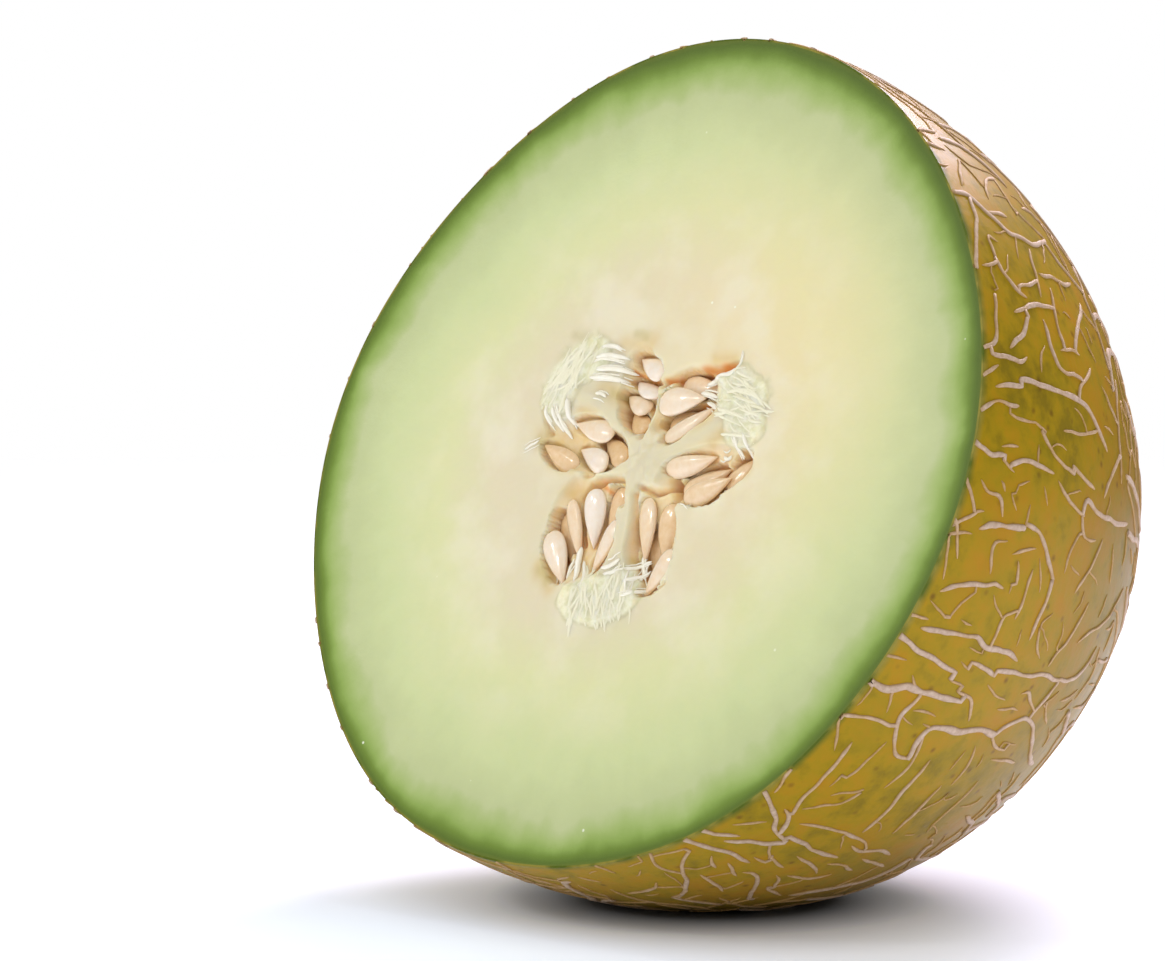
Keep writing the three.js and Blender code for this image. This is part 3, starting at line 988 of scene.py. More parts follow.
def seed_material():
    material, tree, shader, place = new_material("seed_coat")
    grain = spread(tree, cloud(tree, place, 1.2, 3.0, 0.6), 0.3, 0.7, -0.12, 0.12)
    colour = ramp(tree, math_node(tree, "ADD", painted(tree, "tone"), grain), SEED_PAINTS)
    tip_share = spread(tree, painted(tree, "towards_tip"), 0.2, 1.0, 0.0, 0.3)
    colour = tint(tree, colour, tip_share, "e6b880")
    set_inputs(shader, Base_Color=colour, Roughness=0.24, Coat_Weight=0.8, Coat_Roughness=0.07)
    set_inputs(shader, Subsurface_Weight=0.15, Subsurface_Radius=(1.0, 0.7, 0.4), Subsurface_Scale=0.5 * MM)
    return material


# %% Make the seeds
# Tones from ivory (0) to tan (1): the tan ones are mostly seeds lying deep in their pockets, partly painted
# shade.
SEED_TONES = [
    0.10, 0.02, 0.40, 0.90, 0.35, 0.20, 0.85, 0.75, 0.50,
    0.05, 0.80, 0.30, 0.25, 0.80, 0.50, 0.75, 0.40, 0.80,
    0.30, 0.45, 0.40, 0.80, 0.45, 0.65, 0.60, 0.70, 0.80,
]
coat = seed_material()
for number, (seed, tone) in enumerate(zip(seeds, SEED_TONES)):
    points, faces, places = seed_mesh(seed, number)
    numbers = {"tone": np.full(len(points), tone), "towards_tip": places}
    make_piece(f"{seed['name']}_coat", points, faces, coat, numbers, [seed["name"]])

# %% [markdown]
# ## Sweeping a strip
#
# Threads, fibres and the cork net are all long thin things that follow a path. One helper carries a
# small cross-section along a path and closes both ends, so that each is a solid of its own.

# %% Paths and sweeps
CURVE_PARTS = 8  # between two places


def smooth_path(places, step):
    """Evenly spaced points on a smooth curve through the places."""
    places = np.asarray(places, float)
    if len(places) > 2:
        before = np.vstack([2 * places[0] - places[1], places, 2 * places[-1] - places[-2]])
        shares = np.linspace(0, 1, CURVE_PARTS, endpoint=False)[:, None]
        curve = []
        for p0, p1, p2, p3 in zip(before, before[1:], before[2:], before[3:]):
            curve.append(0.5 * (
                2 * p1
                + (p2 - p0) * shares
                + (2 * p0 - 5 * p1 + 4 * p2 - p3) * shares**2
                + (3 * p1 - p0 - 3 * p2 + p3) * shares**3
            ))
        places = np.vstack([*curve, places[-1]])
    lengths = np.append(0, np.cumsum(np.linalg.norm(np.diff(places, axis=0), axis=1)))
    count = max(3, int(round(lengths[-1] / step)) + 1)
    even = np.linspace(0, lengths[-1], count)
    return np.stack([np.interp(even, lengths, places[:, k]) for k in range(places.shape[1])], -1)


def side_ways(path, ups):
    """The directions along a path and across it."""
    along = np.gradient(path, axis=0)
    along /= np.linalg.norm(along, axis=1, keepdims=True)
    across = np.cross(along, ups)
    return along, across / np.linalg.norm(across, axis=1, keepdims=True)


def sweep(path, ups, widths, heights, section):
    """A closed strip. Section holds (across, up) pairs in shares of the width and height."""
    along, across = side_ways(path, ups)
    ups = np.cross(across, along)
    points = (
        path[:, None]
        + across[:, None] * section[None, :, 0, None] * widths[:, None, None]
        + ups[:, None] * section[None, :, 1, None] * heights[:, None, None]
    )
    rings, faces = tube(0, len(section), len(path))
    return points.reshape(-1, 3), faces + [tuple(rings[0]), tuple(rings[-1][::-1])]


def taper(count, start, end):
    """Widths along a path that narrows over a share of its length at each end."""
    shares = np.linspace(0, 1, count)
    rise = np.clip(shares / start, 0, 1) if start else 1.0
    fall = np.clip((1 - shares) / end, 0, 1) if end else 1.0
    return np.sqrt(rise * fall * np.ones(count))


def make_strips(name, strips, material, numbers=None):
    """Joins strips, each with its points first and its faces second, into one piece."""
    faces = []
    count = 0
    for strip in strips:
        faces += [tuple(i + count for i in face) for face in strip[1]]
        count += len(strip[0])
    print(f"{name}: {len(strips)} strips")
    return make_piece(name, np.vstack([strip[0] for strip in strips]), faces, material, numbers)


# %% [markdown]
# ## Fibres in the core
#
# White threads tie the seeds' tips to the pulp. They are the brightest things in the core. Each is a
# round strand swept along a few places on the cut face, thinning at both ends, and lying half sunk
# on the relief below it.

# %% Fibre paths: thickness in millimetres, then places on the cut face
FIBRES = [
    (1.15, [(-12.8, 11.9), (-9.0, 12.1), (-4.4, 11.6)]),
    (1.25, [(-11.6, 13.4), (-8.0, 13.9), (-3.9, 13.5)]),
    (1.10, [(-12.4, 15.6), (-9.0, 16.2), (-4.9, 15.6)]),
    (0.90, [(-11.4, 17.6), (-9.0, 17.9), (-6.8, 17.2)]),
    (0.90, [(-10.6, 9.1), (-9.0, 9.0), (-7.7, 8.4)]),
    (1.00, [(-21.6, 6.6), (-20.8, 4.6), (-19.3, 2.8)]),
    (1.00, [(-19.8, 6.2), (-18.8, 4.2), (-17.1, 2.2)]),
    (0.95, [(-18.2, 5.2), (-17.0, 3.0), (-15.2, 1.2)]),
    (1.40, [(-16.6, 7.8), (-16.0, 5.6), (-14.6, 3.3)]),
    (0.60, [(-24.6, -1.8), (-23.2, -1.0), (-21.3, 0.0)]),
    (1.50, [(-6.1, -18.3), (-5.9, -21.0), (-5.3, -24.4)]),
    (0.90, [(-4.6, -20.8), (-3.6, -23.0), (-2.3, -25.4)]),
    (0.80, [(-7.0, -20.8), (-7.6, -22.4), (-7.8, -24.2)]),
    (0.70, [(-8.6, -22.4), (-9.2, -24.0), (-9.0, -25.2)]),
    (1.10, [(1.2, -22.1), (3.2, -21.7), (5.4, -20.4)]),
    (0.80, [(2.4, -23.3), (4.6, -22.5), (6.6, -21.6)]),
    (0.90, [(6.6, -21.8), (8.6, -20.9), (10.8, -19.8)]),
    (0.90, [(7.2, -24.2), (9.4, -23.1), (11.2, -21.8)]),
    (0.90, [(7.6, -26.8), (10.0, -26.1), (12.2, -24.8)]),
    (0.80, [(8.8, -19.2), (9.6, -21.4), (10.6, -23.4)]),
    (0.70, [(10.4, -21.4), (10.4, -24.0), (11.6, -26.4)]),
    (0.60, [(7.4, -22.0), (8.0, -24.2), (8.4, -26.6)]),
    (1.20, [(13.6, 11.9), (16.6, 12.6), (20.4, 14.0)]),
    (1.00, [(12.6, 10.2), (14.6, 10.1), (17.0, 9.5)]),
    (0.80, [(14.4, 8.7), (15.8, 8.2), (17.2, 7.4)]),
    (0.70, [(20.8, 14.2), (21.2, 15.8), (21.2, 17.2)]),
    (0.90, [(26.3, 2.8), (27.2, 1.0), (28.1, -1.0)]),
    (0.80, [(24.2, 2.4), (25.4, 0.8), (26.2, -1.2)]),
    (0.90, [(21.4, -0.8), (22.4, -1.2), (23.4, -0.6)]),
    (0.70, [(15.4, -9.2), (16.4, -9.3), (17.5, -10.1)]),
]
STRAND_SIDES = 8
FIBRE_STEP = 0.35
FIBRE_SINKS = 1.6  # the deepest that a fibre follows the relief, in millimetres
strand_turns = np.linspace(0, 2 * math.pi, STRAND_SIDES, endpoint=False)
STRAND = 0.5 * np.stack([np.cos(strand_turns), np.sin(strand_turns)], -1)


def strand(places, thickness, lift, chance):
    """A strand that waves a little and lies on the relief, raised by the lift."""
    path = smooth_path(places, FIBRE_STEP)
    right, up = path.T
    count = len(path)
    wave = np.cumsum([chance.gauss(0, 0.05) for _ in range(count)])
    depth = np.minimum(core_relief(right, up), FIBRE_SINKS)
    for _ in range(4):
        depth[1:-1] = (depth[:-2] + depth[1:-1] + depth[2:]) / 3
    path = to_world(right + wave, up - wave * 0.5, depth - lift)
    widths = thickness * (0.25 + 0.75 * taper(count, 0.2, 0.3))
    return sweep(path, np.tile(-INTO_FRUIT, (count, 1)), widths, widths * 0.8, STRAND)


# %% Threads of pulp: many fine strands over the soft lumps
THREAD_LIFT = -0.14  # they lie sunk in the pulp


def pulp_threads(lump, count, chance):
    line, half_width, grain = lump
    spine = smooth_path(line, 0.5)
    strands = []
    for _ in range(count):
        middle = spine[chance.randrange(len(spine))]
        away = half_width * 0.85 * math.sqrt(chance.random())
        turn = chance.uniform(0, 2 * math.pi)
        middle = middle + away * np.array([math.cos(turn), math.sin(turn)])
        way = math.radians(grain + chance.gauss(0, 15))
        half_length = chance.uniform(1.8, 4.2)
        run = half_length * np.array([math.cos(way), math.sin(way)])
        sag = chance.uniform(-0.5, 0.5) * np.array([-math.sin(way), math.cos(way)])
        places = [middle - run, middle + sag, middle + run]
        strands.append(strand(places, chance.uniform(0.35, 0.8), THREAD_LIFT, chance))
    return strands


# %% The strands' materials
def strand_material(name, patch, light, dark, **finish):
    """Two paints in soft patches, and the finish by the shader's own names."""
    material, tree, shader, place = new_material(name)
    colour = mix(tree, cloud(tree, place, patch), paint(light), paint(dark))
    set_inputs(shader, Base_Color=colour, **finish)
    return material


wet_fibre = strand_material(
    "wet_fibre", 1.5, "fbf7ea", "f3ebcf", Roughness=0.3, Coat_Weight=0.5, Coat_Roughness=0.15
)
soft_thread = strand_material("pulp_thread", 2.5, "f4efd4", "eae4c0", Roughness=0.4)
print("strands' materials:", wet_fibre.name, soft_thread.name)

# %% Make the fibres: each has two thinner companions beside it
COMPANIONS = 2
COMPANION_SHIFT = 0.55
THREADS_TO_A_LUMP = 44

chance = random.Random(11)
fibre_strands = []
for thickness, places in FIBRES:
    fibre_strands.append(strand(places, 0.8 * thickness, 0.1 * thickness, chance))
    for _ in range(COMPANIONS):
        shift = np.array([chance.gauss(0, COMPANION_SHIFT), chance.gauss(0, COMPANION_SHIFT)])
        fibre_strands.append(strand(places + shift, 0.36 * thickness, 0.0, chance))
make_strips("core_fibres", fibre_strands, wet_fibre)
thread_strands = [thread for lump in PULP for thread in pulp_threads(lump, THREADS_TO_A_LUMP, chance)]
make_strips("pulp_threads", thread_strands, soft_thread)

# %% [markdown]
# ## The net
#
# As this kind of melon swells, its skin cracks and heals with cork, which leaves a raised net. It
# grows as cracks do: short thick ones run down the fruit, long thin ones run round it, and one crack
# stops where it meets another. It could be a bump in the rind's material, but real strips catch the
# light along their edges and show on the outline. The veins near the cut are listed one by one. The rest
# are grown by that rule, from a fixed seed, so the net is the same each time, and the finest twigs
# come last, in the gaps. Broad veins and fine ones are two pieces, because fine ones need fewer faces.

# %% Veins listed one by one: width in millimetres, then (degrees round, millimetres behind the cut)
# The widths are judged with the veins' soft edges. The cork itself is narrower, by this rule.
CORK_EDGE, CORK_SHARE = 0.1, 0.62
LAID_VEINS = [
    (1.5, [(-62, 1), (-61, 6), (-60.5, 9.5), (-61, 14.5)]),
    (1.2, [(-59, 1), (-58, 4), (-57, 6)]),
    (1.4, [(-59, 5), (-57, 9), (-56, 12.5), (-55, 14)]),
    (0.8, [(-56, 2.5), (-53, 6.5)]),
    (1.2, [(-49.5, 1), (-51.5, 6.5), (-53.5, 9.5), (-54.5, 13.5)]),
    (1.2, [(-50, 6.5), (-51, 9), (-53.5, 11)]),
    (1.0, [(-50, 8.5), (-47, 7), (-43, 6.5), (-37.5, 5.5)]),
    (0.8, [(-49, 9.5), (-47, 12), (-45.5, 15), (-42, 16)]),
    (1.4, [(-53.5, 13.5), (-54, 18.5), (-54.5, 23.5), (-54.5, 28.5)]),
    (0.9, [(-51, 12), (-50, 18.5), (-50, 24.5), (-50.5, 29), (-51.5, 31.5)]),
    (1.2, [(-52, 27.5), (-52.5, 31), (-51.5, 36), (-52.5, 40.5)]),
    (0.9, [(-59.5, 13.5), (-59.5, 16.5)]),
    (0.9, [(-58.5, 16), (-59.5, 21.5)]),
    (0.8, [(-56.5, 13), (-58, 15.5)]),
    (1.0, [(-56.5, 20), (-57.5, 26), (-59, 30)]),
    (0.9, [(-56.5, 28.5), (-56, 32.5), (-57, 37)]),
    (1.1, [(-54, 34.5), (-54.5, 39.5), (-55.5, 44.5)]),
    (0.9, [(-62.5, 7.5), (-64, 9.5), (-64.5, 11.5)]),
    (1.0, [(-62.5, 11.5), (-64.5, 17)]),
    (1.2, [(-63, 16.5), (-62.5, 18.5), (-63.5, 21), (-66, 24.5), (-69.5, 29)]),
    (0.9, [(-61.5, 23), (-62.5, 25), (-64.5, 27.5)]),
    (0.9, [(-61, 25), (-60.5, 30), (-58.5, 33.5)]),
    (1.0, [(-65, 26.5), (-67, 33.5)]),
    (0.9, [(-67, 12), (-68, 17.5), (-69.5, 21.5)]),
    (1.1, [(-63.5, 3.5), (-66, 5.5), (-68, 8.5), (-69.5, 12), (-72, 16), (-75, 19)]),
    (0.8, [(-68.5, 1.5), (-69.5, 4.5), (-68.5, 9.5)]),
    (0.6, [(-68, 20.5), (-65, 20)]),
    (1.0, [(-49, 26), (-44.5, 25.5), (-41, 24.5), (-35.5, 24)]),
    (0.9, [(-48, 33), (-43, 32.5), (-38.5, 32)]),
    (0.7, [(-47, 42.5), (-44, 41.5), (-36.5, 42)]),
    (0.7, [(-42, 10.5), (-39.5, 11), (-35.5, 11.5)]),
    (0.7, [(-36.5, 1), (-39.5, 4)]),
    (0.5, [(-48, 37), (-47.5, 39.5)]),
    (0.9, [(-48.5, 2), (-45.5, 0.5)]),
    (0.8, [(-87, 5.5), (-84, 4)]),
    (0.8, [(-76.5, 1.5), (-76, 4)]),
    (0.9, [(-80.5, 14), (-75.5, 13), (-73.5, 10.5)]),
    (0.9, [(-71.5, 14), (-72.5, 17), (-76, 19)]),
    (1.2, [(-34.5, 1.5), (-33.5, 6), (-33.5, 9.5), (-33, 11)]),
    (1.0, [(-28.5, 11), (-32, 10.5), (-34.5, 12.5), (-36.5, 15.5), (-36.5, 18.5)]),
    (1.9, [(-29.5, 1), (-29.5, 4), (-28, 7.5), (-28, 10.5), (-27.5, 15.5), (-27, 20.5)]),
    (0.8, [(-30, 5.5), (-32, 7.5)]),
    (0.7, [(-27.5, 9), (-26.5, 7)]),
    (0.7, [(-25.5, 1.5), (-25, 4)]),
    (1.5, [(-23, 0.5), (-23.5, 4), (-23.5, 8.5), (-24, 11.5), (-24, 15)]),
    (0.6, [(-25, 15), (-25, 18.5)]),
    (0.6, [(-22.5, 15), (-23, 17.5)]),
    (0.5, [(-20.5, 15), (-20.5, 18.5)]),
    (0.7, [(-30.5, 12), (-30, 14.5), (-30, 17.5)]),
    (2.0, [(-36, 18.5), (-33, 17.5), (-31.5, 18.5), (-31, 21), (-30.5, 25.5), (-29.5, 30), (-29.5, 34.5)]),
    (0.6, [(-31.5, 18.5), (-31.5, 16)]),
    (0.8, [(-41.5, 20), (-37, 20.5), (-33, 18)]),
    (0.9, [(-26, 18.5), (-26, 21), (-26.5, 23), (-29, 25.5)]),
    (1.2, [(-22, 17.5), (-22, 21), (-22.5, 25)]),
    (1.3, [(-21.5, 24.5), (-21, 28.5), (-20.5, 33.5), (-19.5, 40),
           (-19.5, 45), (-19, 49), (-17, 53), (-13, 55)]),
    (0.6, [(-23.5, 24.5), (-24.5, 28), (-24.5, 31.5)]),
    (0.8, [(-26, 31), (-25, 37)]),
    (1.3, [(-29.5, 35), (-28, 36.5), (-26.5, 39.5), (-26, 42.5),
           (-27, 46.5), (-29.5, 51), (-32, 55), (-33, 59.5)]),
    (0.9, [(-30, 35.5), (-31, 38), (-31, 41.5)]),
    (0.5, [(-30, 39.5), (-30, 44.5)]),
    (0.9, [(-23, 35), (-22.5, 37), (-24, 40), (-24.5, 42.5)]),
    (1.1, [(-26, 42.5), (-24.5, 42.5), (-22, 44), (-20, 45)]),
    (0.8, [(-23.5, 45.5), (-24.5, 47.5), (-26, 51)]),
    (0.8, [(-22, 50.5), (-21, 54), (-19.5, 56)]),
    (0.9, [(-20, 1), (-19.5, 3.5)]),
    (1.3, [(-21, 3), (-20, 7.5), (-19.5, 11.5), (-19, 15.5), (-19.5, 18.5), (-19, 25), (-19.5, 28.5)]),
    (0.9, [(-18.5, 19.5), (-15.5, 19), (-14.5, 20.5), (-14, 21.5)]),
    (0.6, [(-15.5, 19), (-14.5, 16.5), (-13.5, 14.5)]),
    (1.0, [(-15, 22), (-12, 22), (-8.5, 21.5)]),
    (0.6, [(-17.5, 2), (-18.5, 6.5)]),
    (1.3, [(-16, 3), (-14, 7), (-13, 11), (-12, 16)]),
    (0.8, [(-14.5, 2.5), (-10.5, 0.5)]),
    (0.9, [(-11.5, 3.5), (-9, 1.5)]),
    (0.8, [(-9, 0.5), (-8, 4.5)]),
    (0.8, [(-11.5, 11.5), (-8, 10), (-7, 13)]),
    (0.5, [(-12.5, 18), (-11.5, 17.5)]),
    (0.9, [(-11, 18.5), (-8.5, 17)]),
    (0.9, [(-8, 15), (-6, 20.5)]),
    (0.7, [(-18, 34.5), (-16.5, 31.5), (-14.5, 30)]),
    (1.1, [(-16.5, 28.5), (-14, 28), (-11, 28.5), (-8.5, 28)]),
    (1.0, [(-18.5, 38.5), (-16.5, 39), (-14.5, 40.5), (-10.5, 42), (-8.5, 43)]),
    (0.9, [(-14, 45), (-12, 47.5), (-10.5, 51.5), (-8, 55), (-3, 59)]),
    (0.9, [(-33, 40), (-32.5, 45), (-32.5, 49.5)]),
    (0.8, [(-38, 35), (-34.5, 34.5), (-31.5, 32.5)]),
    (0.9, [(-7, 1.5), (-5.5, 3.5), (-5, 5.5)]),
    (0.8, [(-5.5, 3.5), (-2.5, 0.5)]),
    (1.5, [(-7, 5.5), (-6, 8.5), (-5, 14), (-4.5, 15.5)]),
    (0.6, [(-4.5, 16), (-1.5, 16)]),
    (1.2, [(-4, 16), (-4, 19.5), (-5.5, 23), (-7.5, 26.5), (-8.5, 28)]),
    (1.0, [(-1.5, 3), (-2.5, 5), (-2.5, 8), (-4.5, 10)]),
    (0.8, [(-0.5, 7.5), (-1.5, 9)]),
    (1.4, [(2.5, 0.5), (2, 4), (2.5, 7)]),
    (0.8, [(2, 7), (1, 10)]),
    (1.4, [(2, 9), (3, 12), (3.5, 15.5), (3.5, 20.5)]),
    (0.9, [(3.5, 6), (4, 8), (4.5, 10)]),
    (0.7, [(8, 7), (8, 10.5), (8.5, 13.5), (8, 16.5)]),
    (1.0, [(8, 15.5), (6.5, 18), (5.5, 21.5), (5, 26.5)]),
    (1.0, [(6, 26), (5.5, 30), (5, 34.5)]),
    (0.9, [(3, 22), (2, 25), (1, 29.5), (1, 32)]),
    (0.9, [(1, 31.5), (-1.5, 33.5), (-1.5, 35.5), (-1, 38.5)]),
    (1.4, [(1, 31.5), (3, 32.5), (2.5, 37), (3, 42), (3.5, 47), (5, 52.5)]),
    (0.8, [(-7, 30.5), (-4.5, 30.5), (-1.5, 32)]),
    (0.6, [(-6, 32), (-6, 36)]),
    (0.9, [(-8.5, 36.5), (-7, 37), (-4.5, 39), (-2.5, 40), (0, 41)]),
    (1.3, [(7, 0.5), (8.5, 3.5), (9, 7), (9.5, 9)]),
    (1.3, [(10.5, 3), (11.5, 6), (12, 9.5)]),
    (1.0, [(11.5, 0.5), (13.5, 3.5)]),
    (1.3, [(14.5, 2), (15, 5), (15.5, 9), (16.5, 11)]),
    (1.3, [(13, 9.5), (13.5, 12.5), (14, 17), (14.5, 21.5), (15, 26),
           (15, 29), (14, 32), (12.5, 35.5), (11.5, 38.5)]),
    (0.8, [(9.5, 22), (10.5, 26), (11.5, 30.5), (12.5, 33)]),
    (1.2, [(5, 38.5), (7, 39.5), (9.5, 41.5), (12.5, 44.5)]),
    (0.6, [(4, 15.5), (6, 15)]),
    (0.5, [(-0.5, 20.5), (1.5, 18.5)]),
    (0.7, [(15.5, 15), (18, 15), (19.5, 16.5)]),
    (1.3, [(16.5, 6.5), (18.5, 9), (20.5, 11), (22.5, 12.5)]),
    (1.0, [(15.5, 1), (16.5, 3), (21.5, 3.5), (24.5, 4)]),
    (1.1, [(23.5, 17), (20.5, 18), (18, 20), (17.5, 22.5), (18.5, 26), (18.5, 28)]),
    (0.9, [(20.5, 21.5), (21.5, 24.5), (22, 28.5)]),
    (1.1, [(15.5, 27), (17.5, 28), (19, 30), (21.5, 32.5)]),
    (0.8, [(20.5, 37), (19, 39.5), (17.5, 43)]),
    (0.9, [(9, 46), (13, 45), (16.5, 44), (20.5, 44.5), (25, 46.5)]),
    (0.7, [(-4.5, 49.5), (0.5, 46.5)]),
    (1.2, [(27.5, 0.5), (30, 1.5), (33.5, 3), (35, 4), (38, 4)]),
    (1.0, [(27, 2), (28.5, 5.5)]),
    (1.2, [(29.5, 6), (27.5, 7.5), (26, 10), (25.5, 13)]),
    (0.9, [(29.5, 6), (32.5, 5.5), (32.5, 8)]),
    (1.2, [(22, 8.5), (23.5, 12), (24.5, 13.5), (25.5, 16), (26, 19), (26.5, 21)]),
    (1.0, [(26.5, 11), (27.5, 13.5), (29, 16.5), (29.5, 17.5)]),
    (1.0, [(27, 17.5), (29.5, 17.5), (32.5, 17.5), (35, 18.5)]),
    (1.0, [(22, 22.5), (23.5, 21.5), (26.5, 21.5), (30, 22)]),
    (1.1, [(31, 19), (32, 23.5), (33, 28.5), (35, 33)]),
    (1.2, [(22.5, 27), (25, 28.5), (27.5, 30.5), (30, 33), (32.5, 34.5)]),
    (1.5, [(38.5, 1), (39, 3.5), (37.5, 7), (36.5, 10), (35.5, 13),
           (36, 16.5), (36.5, 21), (38.5, 25), (40.5, 28.5)]),
    (1.1, [(37.5, 8.5), (38.5, 11.5), (39, 14.5)]),
    (1.0, [(40.5, 10.5), (43.5, 12), (45.5, 14), (47, 17.5)]),
    (0.9, [(40.5, 3.5), (43.5, 5), (46.5, 7)]),
    (1.0, [(47.5, 1), (47.5, 4.5)]),
    (1.2, [(50.5, 1), (51.5, 5)]),
]

# %% A vein's path on the skin
def skin_normal(points):
    """The outward direction of the round skin at points in the row frame."""
    right, up, depth = to_face(points)
    steep = np.stack([
        right / GIRTH_RADIUS**2,
        up / GIRTH_RADIUS**2,
        (depth - CUT_BEFORE_GIRTH) / HALF_LENGTH**2,
    ], -1)
    normal = steep[..., :1] * FACE_RIGHT + steep[..., 1:2] * FACE_UP + steep[..., 2:] * INTO_FRUIT
    return normal / np.linalg.norm(normal, axis=-1, keepdims=True)


def onto_skin(points):
    """Moves points near the skin onto it."""
    right, up, depth = to_face(points)
    latitude = np.arctan2((depth - CUT_BEFORE_GIRTH) / HALF_LENGTH, np.hypot(right, up) / GIRTH_RADIUS)
    latitude = np.maximum(latitude, latitude_of(0.0))
    return skin(np.arctan2(up, right), latitude)


RIM_REACH = 1.6  # a vein laid this close to the cut was cut through, so it runs on to the rim
VEIN_STEP = 0.75


def laid_path(places):
    places = [list(place) for place in places]
    for end, inner in ((0, 1), (-1, -2)):
        if places[end][1] <= RIM_REACH:
            run = places[end][1] - places[inner][1]
            turn = (places[end][0] - places[inner][0]) / run if run else 0
            places[end][0] -= turn * places[end][1]
            places[end][1] = 0.0
    curve = smooth_path(places, 0.25)
    curve = curve[curve[:, 1] >= 0]
    points = skin(np.radians(curve[:, 0]), latitude_of(curve[:, 1]))
    return smooth_path(points, VEIN_STEP)


laid_veins = [(CORK_EDGE + CORK_SHARE * width, laid_path(places)) for width, places in LAID_VEINS]
print(len(laid_veins), "veins laid by hand")

# %% Where veins still have to grow
# How deep behind the cut the listed veins reach, by degrees round the melon.
LAID_REACH = [(-92, 0), (-86, 8), (-76, 21), (-66, 34), (-52, 45), (-32, 60), (-6, 58), (10, 50),
              (25, 40), (37, 30), (46, 8), (53, 6), (55, 0)]
LAID_MARGIN = 1.5
NEAR = (-1, 0, 1)


def laid_here(point):
    right, up, depth = to_face(point)
    angle = math.degrees(math.atan2(up, right))
    return depth < np.interp(angle, *zip(*LAID_REACH), left=0, right=0) - LAID_MARGIN


class NearbyVeins:
    """Finds veins near a point, by keeping their points in boxes."""

    def __init__(self, size):
        self.size = size
        self.boxes = {}

    def key(self, point):
        return tuple(int(math.floor(x / self.size)) for x in point)

    def add(self, path, owner):
        for point in path:
            self.boxes.setdefault(self.key(point), []).append((point, owner))

    def nearest(self, point, skip=None):
        """The distance to the nearest vein and its point there."""
        best, best_point = self.size, None
        x, y, z = self.key(point)
        for box in [(x + dx, y + dy, z + dz) for dx in NEAR for dy in NEAR for dz in NEAR]:
            for other, owner in self.boxes.get(box, ()):
                if owner == skip:
                    continue
                gap = math.dist(point, other)
                if gap < best:
                    best, best_point = gap, other
        return best, best_point


# %% Growing a vein
MEET = 1.1  # a growing vein joins another that comes this near
MEET_AFTER = 1.5  # but not before it has grown this long
KINK = 26.0  # degrees, usual turn where a crack changes its mind
KINK_CHANCE = 0.07
STEADINESS = 0.8  # how much of its bend a vein keeps from step to step


def turned(way, normal, turn):
    """A direction on the skin, turned by radians."""
    return way * math.cos(turn) + np.cross(normal, way) * math.sin(turn)


def grow_one_way(start, way, length, owner, wander, among_laid, veins, chance):
    path = [start]
    bend = chance.gauss(0, 0.8)
    travelled = 0.0
    while travelled < length:
        normal = skin_normal(path[-1])
        bend = STEADINESS * bend + chance.gauss(0, wander)
        kink = chance.gauss(0, KINK) if chance.random() < KINK_CHANCE else 0.0
        way = way - (way @ normal) * normal
        way /= np.linalg.norm(way)
        way = turned(way, normal, math.radians(bend + kink))
        point = onto_skin(path[-1] + way * VEIN_STEP)
        if to_face(point)[2] < 0.05 or point[2] < 0.05 or (laid_here(point) and not among_laid):
            path.append(point)
            break
        gap, other = veins.nearest(point, owner)
        if other is not None and gap < MEET and travelled > MEET_AFTER:
            path.append(np.array(other))
            break
        path.append(point)
        travelled += VEIN_STEP
    return path


def grow_vein(start, heading, length, *rules):
    """Grows both ways from a point. Heading is in degrees from the way down the melon."""
    normal = skin_normal(start)
    down = INTO_FRUIT - (INTO_FRUIT @ normal) * normal
    down = down / max(np.linalg.norm(down), 1e-9)
    way = turned(down, normal, math.radians(heading))
    ahead = grow_one_way(start, way, length * 0.5, *rules)
    behind = grow_one_way(start, -way, length * 0.5, *rules)
    return np.array(behind[:0:-1] + ahead)


# %% Grow the rest of the net
# Each round of growth: tries, room, lengths, widths, and the share of veins that run round.
GROWTH = [
    (900, 6.0, (14, 44), (0.8, 1.35), 0.15),
    (1400, 4.2, (10, 36), (0.5, 0.85), 0.62),
    (2200, 2.8, (4, 14), (0.4, 0.65), 0.55),
]
TWIGS = (1500, 1.9, (1.6, 6.0), (0.32, 0.5), None)  # these run any way, also among the laid veins
BOX_SIZE = 6.5
RING_LONGER = 1.25  # a vein that runs round grows this many times as long
RING_NARROWER = 0.7  # and this many times as wide
SHORTEST = 4  # points, or the vein is given up
SUNNY = {"angle": 78, "half_angle": 42, "depth": 42, "closer": 0.34}


def random_place(chance, among_laid):
    """A point anywhere on the skin, spread evenly."""
    while True:
        depth = chance.uniform(0.5, CUT_BEFORE_GIRTH + HALF_LENGTH)
        point = skin(np.array(chance.uniform(-math.pi, math.pi)), latitude_of(np.array(depth)))
        if point[2] > 0.3 and (among_laid or not laid_here(point)):
            return point


def room_share(point):
    """The net is closer at the top near the cut, as if the sun had fallen there."""
    right, up, depth = to_face(point)
    turn = math.degrees(math.atan2(up, right)) - SUNNY["angle"]
    return 1 - SUNNY["closer"] * float(hump(turn, SUNNY["half_angle"]) * hump(depth, SUNNY["depth"]))


